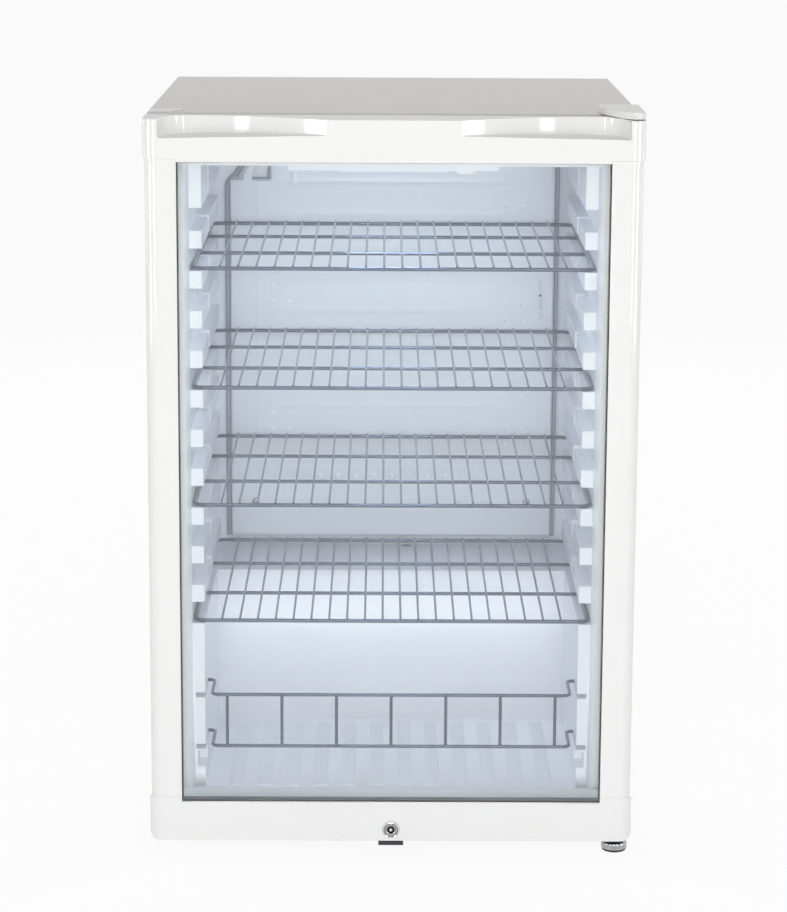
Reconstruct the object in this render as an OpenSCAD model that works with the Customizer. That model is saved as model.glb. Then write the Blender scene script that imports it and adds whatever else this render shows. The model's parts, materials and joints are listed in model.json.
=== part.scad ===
// Under-counter display refrigerator with one glass door.
// Millimetres. +Z is up, the door faces -Y, and the origin is the centre of the
// footprint on the floor. Lengths along Y are counted back from the door's front face.

/* [Overall] */
// Width over the worktop and the door caps
overall_w = 550; // [530:5:700]
// Height of the worktop above the floor
worktop_z = 844.5; // [810:0.5:1060]
// Depth from the door's front face to the worktop's back edge
overall_d = 580; // [570:5:720]

/* [Door] */
// Thickness of the door frame
door_t = 62; // [50:0.1:72]
// Height of the door's lower edge above the floor
door_bottom = 23; // [21:0.5:40]
// Gap between the door's top and the worktop's upper face
door_drop = 1; // [0.5:0.5:4]
// Width of the face of each side profile
side_rail = 37.3; // [32:0.1:60]
// Height of the front of the top rail
top_rail = 46.5; // [42:0.5:70]
// Height of the front of the bottom rail
bottom_rail = 45.2; // [44:0.1:70]
// How far each side profile stands in from the caps
rail_inset = 2; // [1:0.5:4]
// Radius of the door's outer front edges
edge_r = 14; // [8:1:18]
// Depth of the finger scoops at their outer ends
scoop_depth = 50; // [20:1:52]
// Height of the finger scoops
scoop_h = 18; // [14:1:22]
// Half the plain length between the two finger scoops
scoop_inner = 74; // [60:1:110]
// Thickness of each glass pane
pane_t = 4; // [3:0.5:5]
// Width of the gas space between the panes
pane_gap = 12; // [8:1:14]
// Overlap of the frame on the edge of the glass
glass_lap = 11; // [9:1:14]
// Depth of the magnetic gasket
gasket_t = 14.7; // [12:0.1:18]

/* [Cabinet] */
// Half the inside width between the plain liner walls
liner_half = 230; // [222:1:236]
// Height of the inside floor above the feet
floor_z = 57; // [52:1:80]
// Distance from the worktop's upper face down to the inside ceiling
ceiling_drop = 59; // [45:1:80]
// Depth of the inside back wall behind the door's front face
liner_back = 515; // [505:1:524]
// Depth of the step's front face behind the door's front face
step_y = 368; // [340:1:380]
// Height of the step's top above the feet
step_z = 250; // [240:1:255]
// Thickness of the liner sheet
liner_t = 2; // [1.5:0.5:3]
// Thickness of the worktop
worktop_t = 22; // [18:1:28]

/* [Shelves] */
// Number of shelf levels moulded in each wall
levels = 11; // [11:1:11]
// Height of the lowest level's bearing face
level_1_z = 254.2; // [252:0.1:260]
// Distance between levels
level_pitch = 45.6; // [42:0.1:46]
// Height of each bearing rib
rib_h = 20; // [14:1:24]
// How far each rib stands in from the wall
rib_w = 14; // [10:1:16]
// Depth of the front wire behind the door's front face
shelf_y = 98; // [97:1:104]
// Depth of a shelf from its front wire to its rear wire
shelf_d = 401; // [330:1:402]
// Diameter of the frame and cross wires
frame_wire = 4.5; // [4:0.1:5.5]
// Diameter of the long thin wires
thin_wire = 2.6; // [2:0.1:3.5]
// Number of long thin wires
thin_count = 20; // [16:1:22]
// Distance between long thin wires
thin_pitch = 20.6; // [18:0.1:20.6]

/* [Door hinge and lock] */
// Distance of the hinge axis from the cabinet's side
hinge_in = 17; // [16:0.5:20]
// Depth of the hinge axis behind the door's front face
hinge_back = 40; // [34:1:44]
// Diameter of the hinge pins
pin_d = 8; // [6:0.5:9]
// Radial clearance of the pins in their bushes
pin_clear = 0.05; // [0.02:0.01:0.09]
// Diameter of the lock's bezel
lock_d = 19; // [17:0.5:22]
// Height of the lock's axis above the floor
lock_z = 36.4; // [36:0.1:40]

/* [Fits] */
// Gap between parts that move past each other
clear = 0.3; // [0.2:0.05:0.5]

/* [Hidden] */
$fn = 48;

// Anything that cuts reaches this far past the face it cuts.
over = 1;

// The lock's bezel is the foremost point, so the footprint starts there.
lock_proud = 3;
front = -(overall_d + lock_proud) / 2 + lock_proud;
back = front + overall_d;
half_w = overall_w / 2;

// Door
door_top = worktop_z - door_drop;
door_back = front + door_t;
rail_x = half_w - rail_inset;
window_x = half_w - side_rail;
window_z0 = door_bottom + bottom_rail;
window_z1 = door_top - top_rail;
cap_lip = 3;
profile_z0 = window_z0 + 6;
profile_z1 = window_z1 + cap_lip;
lip_t = 4;
profile_wall = 2;
glass_fit = 0.5;
rebate_x = window_x + glass_lap + glass_fit;
rebate_z0 = window_z0 - glass_lap - glass_fit;
rebate_z1 = window_z1 + glass_lap + glass_fit;
pane_y = front + lip_t;
inner_pane_y = pane_y + pane_t + pane_gap;
glass_back = inner_pane_y + pane_t;
spacer_w = glass_lap + 1;
bead_in = 2.5;
gasket_out = 18;
gasket_w = 15;
gasket_y = door_back;
case_front = gasket_y + gasket_t + clear;

// Cabinet
sheet = 1;
frame_t = 1.5;
worktop_z0 = worktop_z - worktop_t;
ceiling_z = worktop_z - ceiling_drop;
base_z = 20;
back_plane = back - 34;
mouth_flare = 5;
mouth_d = 14;
mouth_half = liner_half + mouth_flare;
liner_y0 = case_front + frame_t;
liner_y1 = front + liner_back;
step_front = front + step_y;
bay_foam = 35;
bay_y0 = step_front + bay_foam;
bay_z1 = step_z - bay_foam;

// Shelf levels, counted from the lowest
function level_z(i) = level_1_z + (i - 1) * level_pitch;
shelf_levels = [10, 7, 4, 1];
rib_y0 = front + 94;
rib_len = 122;
rib2_y0 = front + 238;
rib2_len = 200;
side_wire_x = liner_half - frame_wire / 2 - 1.2;
shelf_bend = 12;
cross_1 = 128;
cross_2 = 275;

// Guard rail
rail_wire = 4;
rail_z0 = floor_z + 49;
rail_z1 = rail_z0 + 62;
rail_y = front + 97;
rail_half = liner_half - 22;
rail_leg = 62;
rail_tip = 13;
rail_pitch = 63.6;

// Hinge line
hinge_x = half_w - hinge_in;
hinge_y = front + hinge_back;
bracket_t = 3;
bush_r = pin_d / 2 + 3;
foot_r = 15;
foot_pad_h = 8;
foot_x = half_w - 35;
foot_y = front + 120;
stud_r = 4;
stud_up = 12;
cover_h = 8;
cover_wall = 1.5;

// Lock
plug_r = 6;
barrel_y1 = front + 30;
cam_t = 3;
cam_w = 7;
cam_len = 21;

// Back of the cabinet
comp_x = 70;
comp_y = (bay_y0 + back_plane) / 2 + 6;
comp_r = 66;
comp_z0 = 36;
comp_h = 128;
mount_dx = 88;
mount_dy = 42;
plate_z = 24;
tube_r = 3;
cond_y = back_plane + 14;
cond_half = half_w - 55;
cond_z0 = 262;
cond_passes = 11;
cond_pitch = (worktop_z0 - 60.5 - cond_z0) / (cond_passes - 1);

// A box from its low corner to its high corner.
module block(a, b) {
    translate(a) cube(b - a);
}

// An upright cylinder that starts at p.
module rod_z(p, r, h) {
    translate(p) cylinder(r = r, h = h);
}

// A cylinder along +Y that starts at p.
module rod_y(p, r, h) {
    translate(p) rotate([-90, 0, 0]) cylinder(r = r, h = h);
}

// A cylinder along +X that starts at p.
module rod_x(p, r, h) {
    translate(p) rotate([0, 90, 0]) cylinder(r = r, h = h);
}

// A round rod between two points.
module rod(a, b, r) {
    d = b - a;
    len = norm(d);
    translate(a)
        rotate([0, acos(d[2] / len), atan2(d[1], d[0])])
            cylinder(r = r, h = len, $fn = 32);
}

// A tube or wire along straight lines, with a ball elbow at each corner.
module path(points, r) {
    for (i = [0 : len(points) - 2]) rod(points[i], points[i + 1], r);
    for (i = [1 : len(points) - 2]) translate(points[i]) sphere(r = r + 0.2, $fn = 32);
}

// A quarter of a round wire's bend in the XY plane, centred on p.
module bend(p, turn, bend_r, r) {
    translate(p) rotate([0, 0, turn])
        rotate_extrude(angle = 90) translate([bend_r, 0]) circle(r = r, $fn = 32);
}

// A ring of rectangular section around a window, from y to y + t.
module window_ring(x_in, z_in0, z_in1, x_out, z_out0, z_out1, y, t) {
    difference() {
        block([-x_out, y, z_out0], [x_out, y + t, z_out1]);
        block([-x_in, y - over, z_in0], [x_in, y + t + over, z_in1]);
    }
}

// A sheet panel: one side wall of the cabinet, with a stiffening return at the back.
module side_panel(side) {
    x0 = side > 0 ? half_w - sheet : -half_w;
    x1 = side > 0 ? half_w - 12 : -half_w;
    color("white") union() {
        block([x0, case_front, base_z], [x0 + sheet, back_plane, worktop_z0]);
        block([x1, back_plane - sheet, bay_z1], [x1 + 12, back_plane, worktop_z0]);
    }
}

module side_panel_left() side_panel(-1);
module side_panel_right() side_panel(1);

// The worktop is a laminated board that overhangs the condenser at the back.
module worktop() {
    color("gainsboro") block([-half_w, case_front, worktop_z0], [half_w, back, worktop_z]);
}

// Steel face frame that the magnetic gasket closes on.
module front_frame() {
    color("white") window_ring(
        mouth_half + 1, floor_z - 4, ceiling_z + 2,
        half_w - sheet, base_z + 2, worktop_z0, case_front, frame_t
    );
}

// Space inside the liner: upper part over the step, lower part, and flared mouth.
module cavity(grow) {
    g = grow;
    block([-liner_half - g, liner_y0 + mouth_d, step_z - g],
          [liner_half + g, liner_y1 + g - liner_t, ceiling_z + g]);
    block([-liner_half - g, liner_y0 + mouth_d, floor_z - g],
          [liner_half + g, step_front + g, ceiling_z + g]);
    translate([0, 0, floor_z - g]) linear_extrude(ceiling_z - floor_z + 2 * g)
        polygon([
            [-mouth_half - g, liner_y0 - over], [mouth_half + g, liner_y0 - over],
            [mouth_half + g, liner_y0], [liner_half + g, liner_y0 + mouth_d + 0.01],
            [-liner_half - g, liner_y0 + mouth_d + 0.01], [-mouth_half - g, liner_y0]
        ]);
}

// Bearing ribs for the shelves on one wall, in a front and a rear column. Below the lowest
// level the wall stands in as far as the ribs do, and the guard rail's tips go into it.
module shelf_ribs(side) {
    x0 = side > 0 ? liner_half - rib_w : -liner_half - liner_t;
    x1 = side > 0 ? liner_half + liner_t : -liner_half + rib_w;
    for (i = [1 : levels]) {
        z = level_z(i);
        block([x0, rib_y0, z - rib_h], [x1, rib_y0 + rib_len, z]);
        block([x0, rib2_y0, z - rib_h], [x1, rib2_y0 + rib2_len, z]);
    }
    block([x0, rib_y0, floor_z - liner_t], [x1, step_front + liner_t, level_z(1)]);
    // A pad over the top level keeps the highest shelf from tipping.
    pad_z = level_z(levels) + level_pitch - rib_h;
    block([x0, rib_y0, pad_z], [x1, rib_y0 + rib_len, ceiling_z + liner_t]);
    block([x0, rib2_y0, pad_z], [x1, rib2_y0 + rib2_len, ceiling_z + liner_t]);
}

// One-piece moulded liner with its step, ribs and flange.
module liner() {
    flange = 16;
    color("aliceblue") difference() {
        union() {
            difference() {
                union() {
                    block([-mouth_half - flange, liner_y0, floor_z - flange],
                          [mouth_half + flange, liner_y0 + liner_t, ceiling_z + flange]);
                    intersection() {
                        cavity(liner_t);
                        block([-half_w, liner_y0, 0], [half_w, back, worktop_z]);
                    }
                }
                cavity(0);
            }
            intersection() {
                cavity(liner_t / 2);
                for (side = [-1, 1]) shelf_ribs(side);
            }
        }
        // Blind holes for the guard rail's tips
        for (z = [rail_z0, rail_z1])
            rod_x([-rail_half - rail_tip - 1, rail_y + rail_leg, z], rail_wire / 2 + 0.1,
                  2 * (rail_half + rail_tip + 1));
        // Suction pipe, drain and thermostat sensor
        rod_y([suction_x, liner_y1 - liner_t - over, suction_z], tube_r + clear, liner_t + 2 * over);
        rod_z([drain_x, drain_y, step_z - liner_t - over], drain_r + clear, liner_t + 2 * over);
    }
}

// Where the suction pipe and the drain leave the liner
suction_x = -150;
suction_z = worktop_z - 87.5;
drain_r = 7;
foam_y = liner_y1 + 12;

// Foam poured between the liner and the outer panels.
module foam_insulation() {
    color("khaki") difference() {
        block([-half_w + sheet + 0.01, liner_y0 + liner_t + 0.01, base_z + sheet + 1],
              [half_w - sheet - 0.01, back_plane - sheet - 0.01, worktop_z0]);
        intersection() {
            cavity(liner_t);
            block([-half_w, liner_y0, 0], [half_w, back, worktop_z]);
        }
        block([-half_w, bay_y0 - sheet, 0], [half_w, back + over, bay_z1 + sheet]);
        // Channel for the suction pipe and the capillary tube
        rod_y([suction_x, liner_y1 - over, suction_z], tube_r + 1, foam_y - liner_y1 + over);
        rod_z([suction_x, foam_y, bay_z1 - over], tube_r + 3, suction_z - bay_z1 + over + 8);
        rod_z([drain_x, drain_y, bay_z1 - over], drain_r + clear, bay_foam + over);
        rod_z([-foot_x, foot_y, base_z], stud_r + clear, stud_up + 1);
    }
}

// Sheet that closes the back above the compressor bay.
module back_panel() {
    color("white") difference() {
        block([-half_w + 13, back_plane, bay_z1], [half_w - 13, back_plane + sheet, worktop_z0]);
        for (side = [-1, 1], z = [bay_z1 + 20, (bay_z1 + worktop_z0) / 2, worktop_z0 - 20])
            rod_y([side * (half_w - 22), back_plane - over, z], 2, sheet + 2 * over);
    }
}

// Bottom sheet under the foam, with a toe flange at the front.
module base_pan() {
    color("silver") difference() {
        block([-half_w + sheet, case_front + frame_t, base_z],
              [half_w - sheet, bay_y0 - sheet, base_z + sheet]);
        rod_z([-foot_x, foot_y, base_z - over], stud_r + clear, 2 * over + sheet);
    }
}

// Bent sheet between the foam and the compressor bay.
module bay_wall() {
    color("silver") difference() {
        union() {
            block([-half_w + sheet, bay_y0 - sheet, base_z], [half_w - sheet, bay_y0, bay_z1]);
            block([-half_w + sheet, bay_y0 - sheet, bay_z1],
                  [half_w - sheet, back_plane - sheet, bay_z1 + sheet]);
        }
        rod_z([suction_x, foam_y, bay_z1 - over], tube_r + 3, sheet + 2 * over);
        rod_z([drain_x, drain_y, bay_z1 - over], drain_r + clear, sheet + 2 * over);
    }
}

// Folded cross member that carries the compressor and the rear feet.
module compressor_plate() {
    y0 = bay_y0 + 4;
    y1 = back_plane;
    color("dimgray") difference() {
        union() {
            block([-half_w + sheet, y0, plate_z - 2], [half_w - sheet, y1, plate_z]);
            block([-half_w + sheet, y0, plate_z - 2], [half_w - sheet, y0 + 2, plate_z + 10]);
            block([-half_w + sheet, y1 - 2, plate_z - 2], [half_w - sheet, y1, plate_z + 10]);
        }
        for (p = mount_points) rod_z([p[0], p[1], plate_z - 2 - over], 4.1, 2 + 2 * over);
        for (side = [-1, 1]) rod_z([side * foot_x, rear_foot_y, plate_z - 2 - over], stud_r, 2 + 2 * over);
    }
}
rear_foot_y = back_plane - 40;
mount_points = [for (sx = [-1, 1], sy = [-1, 1]) [comp_x + sx * mount_dx, comp_y + sy * mount_dy]];
foot_plate_z = plate_z + 6;

// Hermetic compressor: welded shell, weld seam, mounting feet and stub tubes.
module compressor() {
    round_r = 38;
    color("#202224") difference() {
        union() {
            translate([comp_x, comp_y, comp_z0]) rotate_extrude($fn = 72) union() {
                square([comp_r - round_r, comp_h]);
                translate([0, round_r]) square([comp_r, comp_h - 2 * round_r]);
                intersection() {
                    union() {
                        translate([comp_r - round_r, round_r]) circle(r = round_r);
                        translate([comp_r - round_r, comp_h - round_r]) circle(r = round_r);
                    }
                    square([comp_r, comp_h]);
                }
            }
            rod_z([comp_x, comp_y, comp_z0 + comp_h * 0.52], comp_r + 3, 4);
            block([comp_x - mount_dx - 12, comp_y - mount_dy - 12, foot_plate_z],
                  [comp_x + mount_dx + 12, comp_y + mount_dy + 12, foot_plate_z + 3]);
            rod_z([comp_x, comp_y, foot_plate_z + 2], comp_r * 0.62, 16);
            rod_x([comp_x - comp_r - 22, comp_y, comp_z0 + 84], 4, 40);
            rod_x([comp_x - comp_r - 22, comp_y - 26, comp_z0 + 46], 3.6, 40);
        }
        for (p = mount_points) rod_z([p[0], p[1], foot_plate_z - over], 7, 3 + 2 * over);
    }
}

// Rubber grommets in the compressor's feet.
module compressor_grommets() {
    color("#1b1b1b") for (p = mount_points) difference() {
        union() {
            rod_z([p[0], p[1], plate_z], 11, foot_plate_z - plate_z);
            rod_z([p[0], p[1], foot_plate_z - 0.5], 7, 4);
            rod_z([p[0], p[1], foot_plate_z + 3], 10, 4);
        }
        rod_z([p[0], p[1], plate_z - over], 4.1, 20);
    }
}

// Bolts and washers that hold the compressor through its grommets.
module compressor_bolts() {
    color("silver") for (p = mount_points) union() {
        rod_z([p[0], p[1], plate_z - 3], 4, foot_plate_z - plate_z + 16);
        rod_z([p[0], p[1], foot_plate_z + 7], 9, 1.5);
        translate([p[0], p[1], foot_plate_z + 8.5]) cylinder(r = 7, h = 5, $fn = 6);
        translate([p[0], p[1], plate_z - 2 - 3.5]) cylinder(r = 7, h = 3.5, $fn = 6);
    }
}

// Starter and overload housing on the compressor's side.
module relay_cover() {
    x0 = comp_x + comp_r - 8;
    color("#2a2c2f") difference() {
        block([x0, comp_y - 26, comp_z0 + 26], [x0 + 44, comp_y + 26, comp_z0 + 96]);
        rod_z([comp_x, comp_y, comp_z0], comp_r + 3 + clear, comp_h);
    }
}

// Hot pipe from the compressor up to the condenser.
module discharge_pipe() {
    x = comp_x - comp_r - 22;
    z = comp_z0 + 46;
    y = comp_y - 26;
    color("peru") path([
        [x, y, z], [x - 26, y, z], [x - 26, y, bay_z1 - 22],
        [x - 26, cond_y, bay_z1 - 22], [x - 26, cond_y, cond_z0 - 16],
        [cond_half - 40, cond_y, cond_z0 - 16], [cond_half - 40, cond_y, cond_z0 - tube_r]
    ], tube_r);
}

// Cold pipe from the plate evaporator's notch, through the back foam, to the compressor.
module suction_pipe() {
    x = comp_x - comp_r - 22;
    z = comp_z0 + 84;
    y = evap_y + evap_t + tube_r + clear;
    notch_x = -evap_half + 46;
    color("silver") path([
        [notch_x - 41, y, evap_notch_z - 30], [notch_x - 39, y, evap_notch_z + 4],
        [notch_x - 28, y, evap_notch_z + 22], [suction_x - 10, y, suction_z - 2],
        [suction_x, y, suction_z], [suction_x, foam_y, suction_z], [suction_x, foam_y, z],
        [suction_x, comp_y, z], [x, comp_y, z]
    ], tube_r);
}

// Copper filter drier between the condenser and the capillary tube.
module filter_drier() {
    color("peru") union() {
        rod_z([drier_x, drier_y, 74], 9, 70);
        translate([drier_x, drier_y, 144]) cylinder(r1 = 9, r2 = 3, h = 12);
        translate([drier_x, drier_y, 62]) cylinder(r1 = 2, r2 = 9, h = 12);
        path([[drier_x, drier_y, 155], [drier_x, drier_y, bay_z1 - 8], [drier_x, cond_y, bay_z1 - 8],
              [drier_x, cond_y, cond_z0 - tube_r]], tube_r);
    }
}
drier_x = -cond_half + 30;
drier_y = back_plane - 28;

// Fine capillary tube, coiled once beside the drier and led up into the foam.
module capillary_tube() {
    r = 1.2;
    color("peru") path([
        [drier_x, drier_y, 62], [drier_x, drier_y, 50], [drier_x + 40, drier_y, 50],
        [drier_x + 40, drier_y, 110], [suction_x + 4.6, drier_y - 20, 110],
        [suction_x + 4.6, foam_y, 150], [suction_x + 4.6, foam_y, bay_z1 + 60]
    ], r);
}

// Side of the condenser's turn above pass i: 1 is right, -1 is left.
function turn_side(i) = i % 2 == 0 ? 1 : -1;

// Wire-on-tube condenser behind the back panel.
module condenser() {
    wire_r = 0.9;
    wire_y = cond_y + tube_r + wire_r - 0.4;
    top = cond_z0 + (cond_passes - 1) * cond_pitch;
    turn_r = cond_pitch / 2;
    color("#1c1d1f") union() {
        for (i = [0 : cond_passes - 1])
            rod_x([-cond_half + turn_r, cond_y, cond_z0 + i * cond_pitch], tube_r,
                  2 * (cond_half - turn_r));
        for (i = [0 : cond_passes - 2])
            translate([turn_side(i) * (cond_half - turn_r), cond_y, cond_z0 + (i + 0.5) * cond_pitch])
                rotate([90, 0, 0]) rotate([0, 0, -90 * turn_side(i)])
                    rotate_extrude(angle = 180) translate([turn_r, 0]) circle(r = tube_r, $fn = 32);
        for (x = [-cond_half + 40 : 38 : cond_half - 39])
            rod_z([x, wire_y, cond_z0 - 10], wire_r, top - cond_z0 + 20);
    }
}

// Clips that hold the condenser off the back panel.
module condenser_clips() {
    color("black") for (side = [-1, 1], i = [1, cond_passes - 2])
        translate([side * (cond_half - 60), 0, cond_z0 + i * cond_pitch]) difference() {
            block([-8, back_plane + sheet, -9], [8, cond_y + 1, 9]);
            rod_x([-9, cond_y, 0], tube_r + 0.05, 18);
        }
}

// Tray on top of the compressor that catches and evaporates meltwater.
tray_z = comp_z0 + comp_h + clear;
tray_h = 24;
tray_half = [62, 40];
module drip_tray() {
    wall = 2;
    color("#303236") difference() {
        block([comp_x - tray_half[0], comp_y - tray_half[1], tray_z],
              [comp_x + tray_half[0], comp_y + tray_half[1], tray_z + tray_h]);
        block([comp_x - tray_half[0] + wall, comp_y - tray_half[1] + wall, tray_z + wall],
              [comp_x + tray_half[0] - wall, comp_y + tray_half[1] - wall, tray_z + tray_h + over]);
    }
}

// Drain from the top of the step down to the tray.
drain_x = comp_x - tray_half[0] + 12;
drain_y = liner_y1 - 15;
module drain_tube() {
    z = tray_z + 12;
    color("gray") difference() {
        rod_z([drain_x, drain_y, z], drain_r, step_z - z);
        rod_z([drain_x, drain_y, z - over], drain_r - 1.5, step_z - z + 2 * over);
    }
}

// Bracket with the gland where a supply lead would enter.
module mains_gland() {
    x = -half_w + 60;
    y = back_plane - 4;
    color("black") difference() {
        union() {
            rod_y([x, y - 4, 100], 9, 16);
            block([x - 22, y, plate_z], [x + 22, y + 2, 124]);
        }
        rod_y([x, y - 10, 100], 4, 40);
    }
}

// Plate evaporator, with the notch that lets its tubes pass.
evap_half = liner_half - 25;
evap_t = 1.6;
evap_y = liner_y1 - liner_t - 9;
evap_z0 = step_z + 12;
evap_z1 = ceiling_z - 12;
evap_notch_z = worktop_z - 122.5;
module evaporator_plate() {
    t = evap_t;
    hole_x = -evap_half + 23;
    color("lightsteelblue") difference() {
        block([-evap_half, evap_y, evap_z0], [evap_half, evap_y + t, evap_z1]);
        // Corner cut-out, rounded at its inner end
        difference() {
            block([-evap_half - over, evap_y - over, evap_notch_z],
                  [-evap_half + 46, evap_y + t + over, evap_z1 + over]);
            rod_y([-evap_half + 52, evap_y - 2, evap_notch_z], 36, t + 4);
        }
        // D-shaped opening
        intersection() {
            rod_y([hole_x + 29, evap_y - over, evap_notch_z], 24, t + 2 * over);
            block([hole_x, evap_y - over, evap_notch_z + 1],
                  [hole_x + 29, evap_y + t + over, evap_notch_z + 16]);
        }
        for (side = [-1, 1], z = stud_zs)
            rod_y([side * stud_x, evap_y - over, z], 2.2, t + 2 * over);
    }
}
stud_x = 174;
stud_zs = [step_z + 57, evap_notch_z - 20];

// Spacers and screws that hold the evaporator off the back wall.
module evaporator_studs() {
    color("silver") for (side = [-1, 1], z = stud_zs) union() {
        rod_y([side * stud_x, evap_y - 3, z], 5, 3);
        rod_y([side * stud_x, evap_y - 1, z], 2.1, 5);
        rod_y([side * stud_x, evap_y + evap_t, z], 5, liner_y1 - liner_t - evap_y - evap_t);
    }
}

// Thermostat bulb in two clips on the evaporator, over the second shelf.
module thermostat_sensor() {
    x = evap_half - 17;
    z = level_z(shelf_levels[1]) + 18;
    color("silver") union() {
        rod_z([x, evap_y - 2.8, z], 1.6, 52);
        for (h = [8, 30]) block([x - 4, evap_y - 4.8, z + h], [x + 4, evap_y, z + h + 6]);
    }
}

// Lamp and control housing under the ceiling.
lamp_half = 120;
lamp_y0 = front + 150;
lamp_y1 = lamp_y0 + 80;
lamp_h = 13;
lamp_z = ceiling_z - lamp_h;
lens_half = 62;
lens_w = 28;
dial_x = 86;
dial_y = lamp_y0 + 58;
dial_r = 14;
dial_h = 8;
rocker_x = -86;
module lamp_housing() {
    color("white") difference() {
        block([-lamp_half, lamp_y0, lamp_z], [lamp_half, lamp_y1, ceiling_z]);
        block([-lens_half - clear, lamp_y0 + 4 - clear, lamp_z - over],
              [lens_half + clear, lamp_y0 + 4 + lens_w + clear, lamp_z + 6]);
        rod_z([dial_x, dial_y, lamp_z - over], 3 + pin_clear, 8 + over);
        block([rocker_x - 11, dial_y - 8, lamp_z - over], [rocker_x + 11, dial_y + 8, lamp_z + 9]);
        rod_y([rocker_x, dial_y - 12, lamp_z + 2], 1.5 + pin_clear, 24);
    }
}

// Diffuser over the lamp's light strip.
module lamp_lens() {
    color("white", 0.8)
        block([-lens_half, lamp_y0 + 4, lamp_z - 2], [lens_half, lamp_y0 + 4 + lens_w, lamp_z + 5.6]);
}

// Rocker switch for the lamp, on its own cross pin.
module rocker_switch() {
    tilt = 9;
    color("black") union() {
        translate([rocker_x, dial_y, lamp_z + 2]) rotate([0, tilt, 0])
            block([-9, -7, -4.5], [9, 7, 1.5]);
        rod_y([rocker_x, dial_y - 11.5, lamp_z + 2], 1.5, 23);
    }
}

// Thermostat dial with a pointer rib and a shaft.
module thermostat_dial() {
    z = lamp_z - clear - dial_h;
    color("whitesmoke") union() {
        rod_z([dial_x, dial_y, z], dial_r, dial_h);
        rod_z([dial_x, dial_y, z + dial_h - 0.5], 3, 8);
        block([dial_x - 1.5, dial_y - dial_r + 1, z - 1], [dial_x + 1.5, dial_y + dial_r - 1, z + 0.5]);
    }
}

// Wire shelf: bent frame wire, two cross wires and the long thin wires.
module shelf(level) {
    r = frame_wire / 2;
    y0 = front + shelf_y;
    y1 = y0 + shelf_d;
    z = level_z(level) + clear + r;
    b = shelf_bend;
    x = side_wire_x;
    thin_z = z + r + thin_wire / 2 - 0.5;
    color("lightslategray") union() {
        for (y = [y0, y1]) rod_x([-x + b, y, z], r, 2 * (x - b));
        for (side = [-1, 1]) rod_y([side * x, y0 + b, z], r, y1 - y0 - 2 * b);
        bend([x - b, y1 - b, z], 0, b, r);
        bend([-x + b, y1 - b, z], 90, b, r);
        bend([-x + b, y0 + b, z], 180, b, r);
        bend([x - b, y0 + b, z], 270, b, r);
        for (y = [y0 + cross_1, y0 + cross_2]) rod_x([-x, y, z], r - 0.15, 2 * x);
        for (i = [0 : thin_count - 1])
            rod_y([(i - (thin_count - 1) / 2) * thin_pitch, y0 - 0.6, thin_z],
                  thin_wire / 2, shelf_d + 1.2);
    }
}

module shelf_1() shelf(shelf_levels[0]);
module shelf_2() shelf(shelf_levels[1]);
module shelf_3() shelf(shelf_levels[2]);
module shelf_4() shelf(shelf_levels[3]);

// Wire rail that keeps bottles on the floor from rolling out.
module guard_rail() {
    r = rail_wire / 2;
    b = 8;
    tip_y = rail_y + rail_leg;
    color("slategray") union() {
        for (z = [rail_z0, rail_z1]) {
            rod_x([-rail_half + b, rail_y, z], r, 2 * (rail_half - b));
            bend([rail_half - b, rail_y + b, z], 270, b, r);
            bend([-rail_half + b, rail_y + b, z], 180, b, r);
            for (side = [-1, 1]) {
                rod_y([side * rail_half, rail_y + b, z], r, rail_leg - b);
                translate([side * rail_half, tip_y, z]) sphere(r = r + 0.1, $fn = 32);
                rod_x([side > 0 ? rail_half : -rail_half - rail_tip, tip_y, z], r, rail_tip);
            }
        }
        for (i = [-3 : 3]) rod_z([i * rail_pitch, rail_y + r, rail_z0], r - 0.2, rail_z1 - rail_z0);
    }
}

// Plate under the cabinet that carries the door and the front foot.
module lower_hinge_bracket() {
    color("silver") difference() {
        block([hinge_x - 22, hinge_y - 15, base_z - 2 - bracket_t],
              [hinge_x + 13, front + 150, base_z - 2]);
        rod_z([hinge_x, hinge_y, base_z - 10], stud_r, 12);
        for (y = [front + 100, front + 135])
            rod_z([hinge_x - 4, y, base_z - 10], 2.6, 12);
    }
    color("silver") block([hinge_x - 22, case_front + frame_t, base_z - 2],
                          [hinge_x + 13, front + 150, base_z]);
}

// Shouldered pin on the lower bracket: the door's lower bush turns on it.
module lower_hinge_pin() {
    color("silver") union() {
        rod_z([hinge_x, hinge_y, base_z - 2 - bracket_t], stud_r, bracket_t + 1);
        rod_z([hinge_x, hinge_y, base_z - 2], 7, door_bottom - base_z + 2 - 0.6);
        rod_z([hinge_x, hinge_y, door_bottom - 1], pin_d / 2, 16);
    }
}

// Plate over the door, screwed to the worktop, that carries the upper pin.
module upper_hinge_bracket() {
    z = worktop_z;
    color("silver") difference() {
        union() {
            block([hinge_x - 10, hinge_y - 10, z], [hinge_x + 10, case_front + 8, z + bracket_t]);
            block([hinge_x - 26, case_front + 3, z], [hinge_x + 10, case_front + 28, z + bracket_t]);
        }
        rod_z([hinge_x, hinge_y, z - over], pin_d / 2 - 0.5, bracket_t + 2 * over);
        for (x = hinge_screw_x) rod_z([x, case_front + 18, z - over], 2.6, bracket_t + 2 * over);
    }
}
hinge_screw_x = [hinge_x - 18, hinge_x + 2];

// Upper pin, riveted in its plate.
module upper_hinge_pin() {
    color("silver") union() {
        rod_z([hinge_x, hinge_y, door_top - 16], pin_d / 2, 16 + door_drop);
        rod_z([hinge_x, hinge_y, worktop_z - 0.5], pin_d / 2 - 0.5, bracket_t + 0.5);
        rod_z([hinge_x, hinge_y, worktop_z + bracket_t], 6, 1.5);
    }
}

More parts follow.
